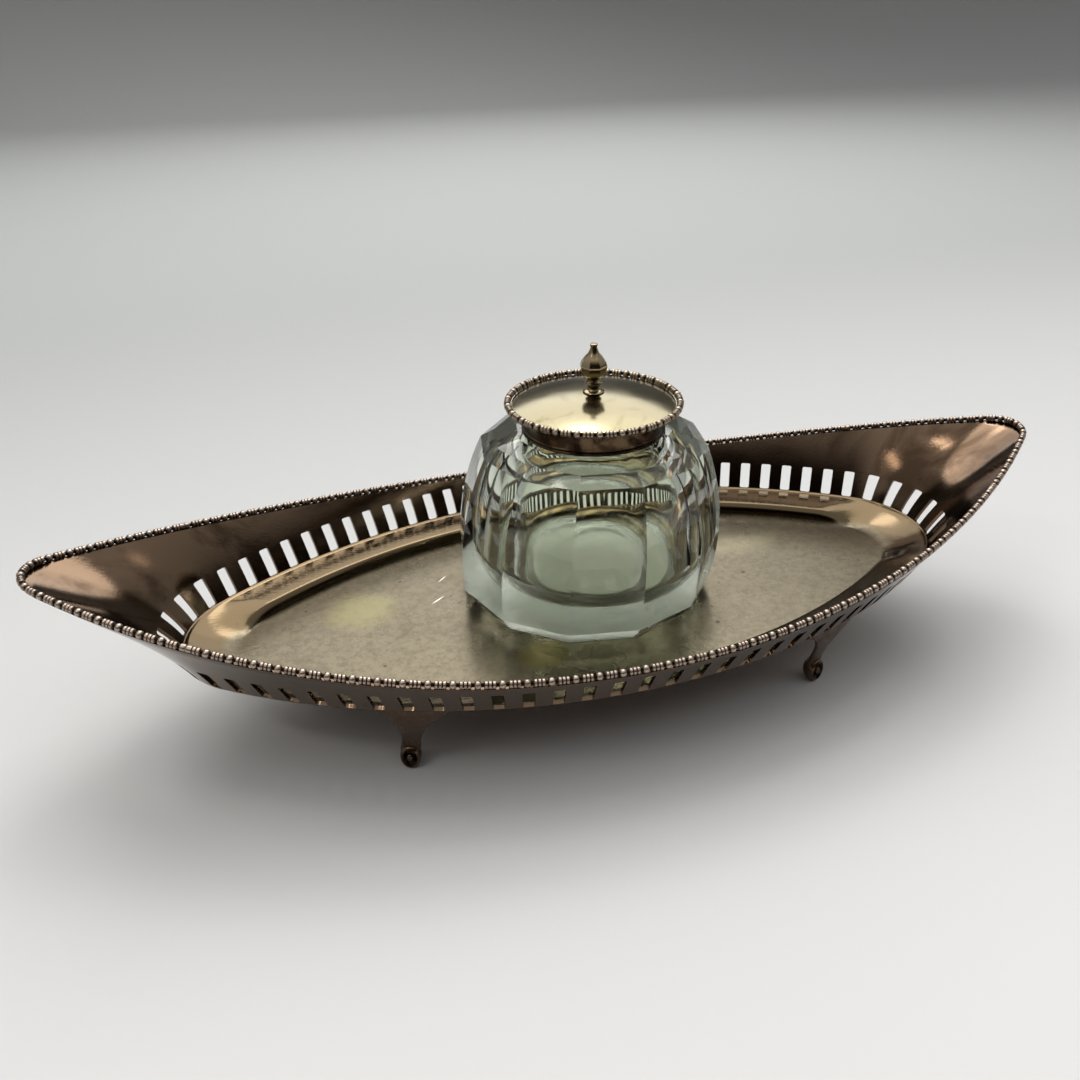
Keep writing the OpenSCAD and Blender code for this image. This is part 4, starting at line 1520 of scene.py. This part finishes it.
@dataclass
class Bottle:
    """The cut-glass ink bottle with its silver collar, all sizes in millimetres.

    Attributes:
        foot: middle of the bottle's base.
        lean: how far the neck stands to the right of it.
        base_z: height of its base.
        panels: number of cut panels.
        turn_deg: angle of the first corner between panels.
        body_r: corner radius of the body where it is widest.
        wide_at: height of that above the base.
        bow_r: radius of the body's upright curve.
        shoulder_at: height at which the cut shoulder starts.
        foot_r: corner radius of the foot.
        foot_h: height of the bevel above it.
        top_at: height at which the shoulder meets the neck.
        top_r: corner radius there.
        neck_r: radius of the neck.
        neck_h: height of the neck.
        mouth_r: radius of the mouth.
        glass_floor: thickness of glass under the well.
        well_r: radius of the ink well.
        well_round: radius of the curve round its floor.
        well_side: height of its straight side.
        collar_r: outer radius of the collar.
        collar_t: thickness of its sheet.
        bed_gap: gap that the bedding fills.
    """

    foot: tuple[float, float] = (2.6, 6.4)
    lean: float = 2.4
    base_z: float = 18.55
    panels: int = 12
    turn_deg: float = 4.5
    body_r: float = 33.6
    wide_at: float = 13.6
    bow_r: float = 62.5
    shoulder_at: float = 39.0
    foot_r: float = 30.4
    foot_h: float = 3.6
    top_at: float = 42.4
    top_r: float = 19.2
    neck_r: float = 15.0
    neck_h: float = 5.1
    mouth_r: float = 11.0
    glass_floor: float = 5.2
    well_r: float = 22.5
    well_round: float = 7.0
    well_side: float = 7.0
    collar_r: float = 17.2
    collar_t: float = 0.8
    bed_gap: float = 0.05

    @property
    def axis(self) -> tuple[float, float]:
        """Place of the neck's axis."""
        return (self.foot[0] + self.lean, self.foot[1])

    def bow(self, z: np.ndarray) -> np.ndarray:
        """Corner radius of the body at height z: its widest less the sag of the bow's arc."""
        return self.body_r - self.bow_r + np.sqrt(self.bow_r**2 - (z - self.wide_at) ** 2)

    def glass_outside(self) -> np.ndarray:
        """Lay out the panelled part of the glass: foot, bowed body and two-facet shoulder.

        Returns:
            Corner radius and height above the base of each ring.
        """
        side = np.linspace(self.foot_h, self.shoulder_at, 15)
        shoulder = float(self.bow(np.array(self.shoulder_at)))
        mid = (shoulder * 0.6 + self.top_r * 0.4,
               self.shoulder_at + (self.top_at - self.shoulder_at) * 0.62)
        return np.vstack([
            [[0.0, 0.0], [self.foot_r * 0.5, 0.0], [self.foot_r - 0.15, 0.0], [self.foot_r, 0.15]],
            np.stack([self.bow(side), side], -1),
            [mid, (self.top_r, self.top_at)],
        ])

    def glass_inside(self) -> np.ndarray:
        """Lay out the round part of the glass: the neck, the mouth and down into the well.

        The well is a quarter ellipse from the mouth, a straight side, a quarter circle and
        a flat disc.

        Returns:
            Radius and height above the base of each ring.
        """
        top = self.top_at + self.neck_h
        neck = np.array([
            [self.neck_r, self.top_at], [self.neck_r, top - 0.4], [self.neck_r - 0.4, top],
            [self.mouth_r + 0.4, top], [self.mouth_r, top - 0.4]])
        arc = np.linspace(0, np.pi / 2, 24)
        well_top = self.glass_floor + self.well_round + self.well_side
        wide, tall = self.well_r - self.mouth_r, self.shoulder_at - well_top
        roof = np.stack([self.mouth_r + wide * np.sin(arc), well_top + tall * np.cos(arc)], -1)
        bowl = np.stack([self.well_r - self.well_round * (1 - np.cos(arc[:-1])),
                         self.glass_floor + self.well_round * (1 - np.sin(arc[:-1]))], -1)
        floor = np.array([[self.well_r - self.well_round, self.glass_floor],
                          [0.0, self.glass_floor]])
        return np.vstack([neck, roof, bowl, floor])

    def glass_object(self, material: bpy.types.Material) -> bpy.types.Object:
        """Make the glass as one closed surface, from the base over the mouth into the well.

        Both profiles are carried round the foot's axis. The outside moves over in proportion
        to its height until it has the neck's place, and the rest stands there upright.

        Args:
            material: the glass.

        Returns:
            The object.
        """
        body, rest = self.glass_outside(), self.glass_inside()
        flatness = np.concatenate([np.ones(len(body)), np.zeros(len(rest))])
        lean = np.concatenate([self.lean * body[:, 1] / self.top_at,
                               np.full(len(rest), self.lean)])
        grid = turned_grid(np.vstack([body, rest]) + [0.0, self.base_z], self.foot,
                           self.panels * 10, self.panels, flatness, self.turn_deg)
        grid[..., 0] += lean[:, None]
        patch = grid_patch(grid, close_columns=True)
        return make_object("bottle_cut_glass", [patch], material, sharp_deg=12.0)

    def collar_object(self, material: bpy.types.Material) -> bpy.types.Object:
        """Make the collar: a band with a rolled foot, a waist, and a lip in to the mouth.

        The profile is carried round the bottle's axis.

        Args:
            material: its silver.

        Returns:
            The object.
        """
        low = self.base_z + self.top_at + self.bed_gap
        top = self.base_z + self.top_at + self.neck_h + self.bed_gap + self.collar_t
        roll_r, waist_in = 0.42, 0.12
        roll = np.linspace(-np.pi / 2, np.pi / 2, 9)
        outside = np.stack([self.collar_r + roll_r * np.cos(roll),
                            low + roll_r + roll_r * np.sin(roll)], -1)
        rise = np.linspace(low + 1.0, top - 0.5, 10)
        pinch = np.sin((rise - low) / (top - low) * np.pi)
        waist = np.stack([self.collar_r - waist_in * pinch, rise], -1)
        inside = self.collar_r - self.collar_t
        lip = np.array([
            [self.collar_r - waist_in, top - 0.1], [self.collar_r - 0.5, top],
            [self.mouth_r + 0.2, top], [self.mouth_r, top - 0.2],
            [self.mouth_r, top - self.collar_t], [inside, top - self.collar_t], [inside, low]])
        ring = turned_grid(np.vstack([outside, waist, lip]), self.axis)
        patch = grid_patch(ring, close_rows=True, close_columns=True)
        return make_object("collar_band", [patch], material, sharp_deg=35.0)

    def build(self) -> list[bpy.types.Object]:
        """Make and dress the bottle.

        Returns:
            The new objects.
        """
        glass = self.glass_object(CutGlass(foot_z=self.base_z).build())
        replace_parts(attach(glass, "bottle"), "bottle_glass")
        band = Silver(
            "sterling_collar_sheet", "5f4e3b", "403124", "1f150f", cloud_mm=6.0, cloud_share=0.7,
            deep_share=0.7, wave=0.05, rough=(0.16, 0.3), spots=0.0).build()
        pin = Silver("sterling_pin_drawn", "b8b0a0", "948a76", "5d5241", cloud_mm=3.0).build()
        collar = self.collar_object(band)
        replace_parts(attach(collar, "bottle"), "collar")
        dress("collar_plaster", Plaster().build())
        dress("hinge_collar_leaf", band)
        dress("hinge_pin", pin)
        return [glass, collar]


@dataclass
class Lid:
    """The hinged lid with its border and finial, all sizes in millimetres.

    Attributes:
        axis: place of the lid's axis.
        under_z: height of its flange's underside.
        dome_r: radius of the dome's edge.
        dome_rise: rise of the dome in its middle.
        sheet: thickness of the sheet.
        bed_gap: gap that the solder fills.
        wire_r: radius of the border's beads.
        wire_period: length of one bead and its three reels.
        stud_r: radius of the finial's stud.
    """

    axis: tuple[float, float] = (5.0, 6.4)
    under_z: float = 67.0
    dome_r: float = 19.85
    dome_rise: float = 2.7
    sheet: float = 0.6
    bed_gap: float = 0.05
    wire_r: float = 0.93
    wire_period: float = 5.1
    stud_r: float = 0.9

    @property
    def dome_base(self) -> float:
        """Height of the dome's edge."""
        return self.under_z + self.sheet + self.bed_gap

    def dome_object(self, material: bpy.types.Material) -> bpy.types.Object:
        """Make the dome: two shallow arcs a sheet apart, carried round the axis.

        Height above the edge at radius r is sqrt(R^2 - r^2) - (R - rise), where R is the
        radius of the arc through the edge and the top.

        Args:
            material: its silver.

        Returns:
            The object.
        """
        bow = (self.dome_r**2 + self.dome_rise**2) / (2 * self.dome_rise)
        radius = np.linspace(self.stud_r + self.bed_gap, self.dome_r, 24)
        outside = np.sqrt(bow**2 - radius**2) - (bow - self.dome_rise)
        inside = np.sqrt((bow - self.sheet) ** 2 - radius[:-2] ** 2) - (bow - self.dome_rise)
        under = np.stack([radius[:-2], inside], -1)[::-1]
        profile = np.vstack([np.stack([radius, outside], -1), under]) + [0.0, self.dome_base]
        shell = turned_grid(profile, self.axis)
        patch = grid_patch(shell, close_rows=True, close_columns=True)
        return make_object("lid_dome_sheet", [patch], material, sharp_deg=40.0)

    def border_object(self, material: bpy.types.Material) -> bpy.types.Object:
        """Make the bead-and-reel ring round the lid, swept along a circle.

        Args:
            material: its silver.

        Returns:
            The object.
        """
        reach = self.dome_r + self.wire_r + self.bed_gap
        s, radius = bead_rings(2 * math.pi * reach, self.wire_period, self.wire_r)
        angle = s / reach + 0.3
        side = np.stack([np.cos(angle), np.sin(angle), np.zeros(len(angle))], -1)
        ring = np.array([*self.axis, self.under_z + self.wire_r + 0.02]) + reach * side
        up = np.tile([0.0, 0.0, 1.0], (len(angle), 1))
        patch = bead_patch(ring, side, up, radius, self.wire_r)
        return make_object("lid_bead_ring", [patch], material, sharp_deg=50.0)

    def finial_object(self, material: bpy.types.Material) -> bpy.types.Object:
        """Make the finial: a flared foot, two beads, an eight-sided urn and a spire on a stud.

        Its profile, a row each of radius, height above the dome and 1 where the eight flat
        panels of the urn lie, is carried round the axis.

        Args:
            material: its silver.

        Returns:
            The object.
        """
        sides, round_it = 8, 6
        outline = np.array([
            [0.0, -2.4, 0], [0.9, -2.4, 0], [0.9, 0.0, 0], [2.6, 0.0, 0], [2.62, 0.14, 0],
            [2.4, 0.32, 0], [1.75, 0.62, 0], [1.5, 0.95, 0], [1.42, 1.25, 0], [1.6, 1.5, 0],
            [1.95, 1.85, 0], [2.1, 2.2, 0], [1.95, 2.55, 0], [1.55, 2.85, 0], [1.35, 3.1, 0],
            [1.4, 3.3, 0], [1.95, 3.55, 1], [2.75, 4.5, 1], [3.25, 5.6, 1], [3.4, 6.3, 1],
            [3.38, 6.7, 1], [3.1, 7.4, 1], [2.3, 8.5, 1], [1.5, 9.4, 1], [1.15, 9.9, 0],
            [0.95, 10.4, 0], [0.78, 10.9, 0], [0.86, 11.3, 0], [0.95, 11.5, 0],
            [0.85, 11.72, 0], [0.5, 11.8, 0], [0.0, 11.8, 0]])
        radius, height, flatness = outline.T
        profile = outline[:, :2] + [0.0, self.dome_base + self.dome_rise + self.bed_gap]
        grid = turned_grid(profile, self.axis, sides * round_it, sides, flatness,
                           turn_deg=8.0)
        # The waists between the finial's beads are marked as grooves, so their colour is darkened:
        # tarnish with painted shade.
        depth = np.clip(1.9 - radius, 0, 0.6) * ((height > 0.6) & (height < 3.4))
        depth = np.repeat(depth[:, None], sides * round_it, axis=1)
        patch = grid_patch(grid, close_columns=True, depth=depth)
        return make_object("finial_urn", [patch], material, sharp_deg=25.0)

    def build(self) -> list[bpy.types.Object]:
        """Make and dress the lid.

        Returns:
            The new objects.
        """
        dome = Silver(
            "sterling_lid_sheet", "8a8166", "766d52", "4f472f", cloud_mm=9.0, spots=0.8,
            spot_mm=5.0, rough=(0.12, 0.22), wave=0.08).build()
        wire = Silver(
            "sterling_lid_border_cast", "bfae98", "978570", "5a4b3d", cloud_mm=5.0, groove=1.0,
            wave=0.05, spots=0.0, rough=(0.28, 0.42)).build()
        cast = Silver(
            "sterling_finial_cast", "a08f70", "74634a", "483828", cloud_mm=3.0, groove=0.8,
            wave=0.05, spots=0.0, rough=(0.14, 0.28)).build()
        plate = Silver(
            "sterling_plate_plain", "b8b0a0", "948a76", "5d5241", cloud_mm=4.0).build()
        made = []
        for piece, slot, node in ((self.dome_object(dome), "lid_silver", "lid_dome"),
                                  (self.border_object(wire), "border_silver", "lid_border"),
                                  (self.finial_object(cast), "finial_silver", "finial")):
            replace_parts(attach(piece, "lid"), node)
            made.append(piece)
        for node in ("lid_bezel", "hinge_lid_knuckle", "finial_washer", "finial_nut"):
            dress(node, plate)
        return made


# ---------------------------------------------------------------- studio


@dataclass
class Studio:
    """A pale table that turns up into a backdrop, soft lights, and the camera.

    Attributes:
        eye: the camera's place, in millimetres.
        yaw: turn of the view from the Y axis, in radians.
        pitch: tilt of the view below level, in radians.
        roll: roll of the camera, in radians.
        focal: focal length in widths of the image.
        shift: rise of the image's middle, in widths of the image.
        lit_at: the point that the lamps face, in metres.
    """

    eye: tuple[float, float, float] = (-67.35, -197.32, 151.8)
    yaw: float = 0.27787
    pitch: float = 0.5136
    roll: float = -0.0236
    focal: float = 948 / 1080
    shift: float = -1.5 / 1080
    lit_at: tuple[float, float, float] = (0.0, 0.0, 0.03)

    def camera(self) -> None:
        """Make the camera: forward is (sin yaw cos pitch, cos yaw cos pitch, -sin pitch)."""
        level = math.cos(self.pitch)
        forward = Vector((math.sin(self.yaw) * level, math.cos(self.yaw) * level,
                          -math.sin(self.pitch)))
        right = Vector((math.cos(self.yaw), -math.sin(self.yaw), 0))
        up = right.cross(forward)
        turned_right = math.cos(self.roll) * right + math.sin(self.roll) * up
        turned_up = -math.sin(self.roll) * right + math.cos(self.roll) * up
        data = bpy.data.cameras.new("camera")
        data.sensor_width = 36.0
        data.lens = self.focal * data.sensor_width
        data.shift_y = self.shift
        data.clip_start, data.clip_end = 0.01, 20.0
        camera = bpy.data.objects.new("camera", data)
        turn = Matrix((turned_right, turned_up, -forward)).transposed()
        camera.matrix_world = Matrix.Translation(Vector(self.eye) * MM) @ turn.to_4x4()
        bpy.context.scene.collection.objects.link(camera)
        bpy.context.scene.camera = camera

    def table(self) -> None:
        """Make the table: a sheet that runs back, bends up through a quarter circle and rises.

        Its colour is painted paler in front and darker behind: painted light and shade that stand
        in for the lamps' falloff.
        """
        reach, bend_r, half_w, columns = 1500.0, 300.0, 2400.0, 9
        bend = np.linspace(0, np.pi / 2, 24)
        run = np.concatenate([[-reach], reach + bend_r * np.sin(bend), [reach + bend_r]])
        rise = np.concatenate([[0.0], bend_r - bend_r * np.cos(bend), [reach + bend_r]])
        across = np.tile(np.linspace(-half_w, half_w, columns), (len(run), 1))
        grid = np.stack([across, np.repeat(run[:, None], columns, 1),
                         np.repeat(rise[:, None], columns, 1)], -1)
        material, tree = new_material("matt_paper_painted_falloff")
        place = add_node(tree, "ShaderNodeTexCoord").outputs["Object"]
        away = add_node(tree, "ShaderNodeSeparateXYZ", None, {"Vector": place}).outputs["Y"]
        # The colour runs from pale in front to grey behind as painted light and shade, standing in
        # for how the lamps' light falls off.
        painted_falloff = add_node(
            tree, "ShaderNodeMapRange", {"interpolation_type": "SMOOTHSTEP"},
            {"Value": away, "From Min": -0.2, "From Max": 0.4},
        ).outputs["Result"]
        colour = add_node(
            tree, "ShaderNodeMix", {"data_type": "RGBA"},
            {"Factor": painted_falloff, "A": linear("e6e4e2"), "B": linear("acadab")},
        ).outputs["Result"]
        shader = add_node(
            tree, "ShaderNodeBsdfPrincipled", None, {"Base Color": colour, "Roughness": 0.8},
        )
        add_node(tree, "ShaderNodeOutputMaterial", None, {"Surface": shader.outputs["BSDF"]})
        sheet = make_object("studio_table", [grid_patch(grid)], material, sharp_deg=60.0)
        if sheet.data.polygons[0].normal.z < 0:
            sheet.data.flip_normals()

    def light(
        self, name: str, place: tuple[float, float, float], size: tuple[float, float],
        power: float, colour: str,
    ) -> None:
        """Hang one oval softbox that faces the inkstand.

        Args:
            name: the lamp's name.
            place: its place, in metres.
            size: its level and its rising diameter, in metres.
            power: its power in watts.
            colour: hex colour of its light.
        """
        data = bpy.data.lights.new(name, "AREA")
        data.shape, data.energy, data.color = "ELLIPSE", power, linear(colour)[:3]
        data.size, data.size_y = size
        lamp = bpy.data.objects.new(name, data)
        lamp.location = place
        facing = Vector(self.lit_at) - Vector(place)
        lamp.rotation_euler = facing.to_track_quat("-Z", "Y").to_euler()
        bpy.context.scene.collection.objects.link(lamp)

    def room(self) -> bpy.types.World:
        """Make the room: a pale ceiling over greyer walls, and nothing lit behind the camera.

        With up and back the view direction's Z and Y, the light rises from the walls' to the
        ceiling's as up passes from 0.3 to 0.95, and falls to the dark as back + 0.8 * up
        passes from 0.15 to -0.3.

        Returns:
            The world.
        """
        world = bpy.data.worlds.new("studio_room")
        world.use_nodes = True
        tree = world.node_tree
        tree.nodes.clear()
        look = add_node(tree, "ShaderNodeTexCoord").outputs["Generated"]
        parts = add_node(tree, "ShaderNodeSeparateXYZ", None, {"Vector": look})
        ceiling = add_node(
            tree, "ShaderNodeMapRange", {"interpolation_type": "SMOOTHSTEP"},
            {"Value": parts.outputs["Z"], "From Min": 0.3, "From Max": 0.95},
        ).outputs["Result"]
        lit = add_node(
            tree, "ShaderNodeMix", {"data_type": "RGBA"},
            {"Factor": ceiling, "A": linear("a2a4a4"), "B": linear("eeeff0")},
        ).outputs["Result"]
        back = add_node(
            tree, "ShaderNodeMath", {"operation": "MULTIPLY_ADD"},
            {0: parts.outputs["Z"], 1: 0.8, 2: parts.outputs["Y"]},
        ).outputs[0]
        front = add_node(
            tree, "ShaderNodeMapRange", {"interpolation_type": "SMOOTHSTEP"},
            {"Value": back, "From Min": 0.15, "From Max": -0.3},
        ).outputs["Result"]
        colour = add_node(
            tree, "ShaderNodeMix", {"data_type": "RGBA"},
            {"Factor": front, "A": lit, "B": linear("211b19")},
        ).outputs["Result"]
        light = add_node(tree, "ShaderNodeBackground", None, {"Color": colour})
        add_node(tree, "ShaderNodeOutputWorld", None, {"Surface": light.outputs["Background"]})
        return world

    def build(self) -> None:
        """Make the camera, table, lights and world."""
        self.camera()
        self.table()
        self.light("softbox_top", (0.2, 0.76, 1.02), (1.4, 1.4), 13.2, "ffffff")
        self.light("softbox_heart", (0.141, 0.566, 0.933), (0.28, 0.28), 1.1, "ffffff")
        self.light("strip_left_low", (-0.85, -0.35, 1.1), (0.42, 0.07), 0.9, "fffcf4")
        self.light("strip_left_high", (-0.35, 0.11, 1.1), (0.3, 0.06), 0.4, "fffcf4")
        self.light("lamp_right", (1.0, 0.05, 0.86), (0.14, 0.14), 0.05, "fff0dc")
        bpy.context.scene.world = self.room()
        bpy.context.scene.view_settings.view_transform = "Standard"


# ---------------------------------------------------------------- main


def main() -> None:
    """Build the inkstand's looks and the studio round it, and report each piece."""
    logging.basicConfig(level=logging.INFO, format="%(name)s: %(message)s")
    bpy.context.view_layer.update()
    pieces = Tray().build() + Bottle().build() + Lid().build()
    for piece in pieces:
        log.info("%s: %d faces", piece.name, len(piece.data.polygons))
    Studio().build()


if __name__ == "__main__":
    main()
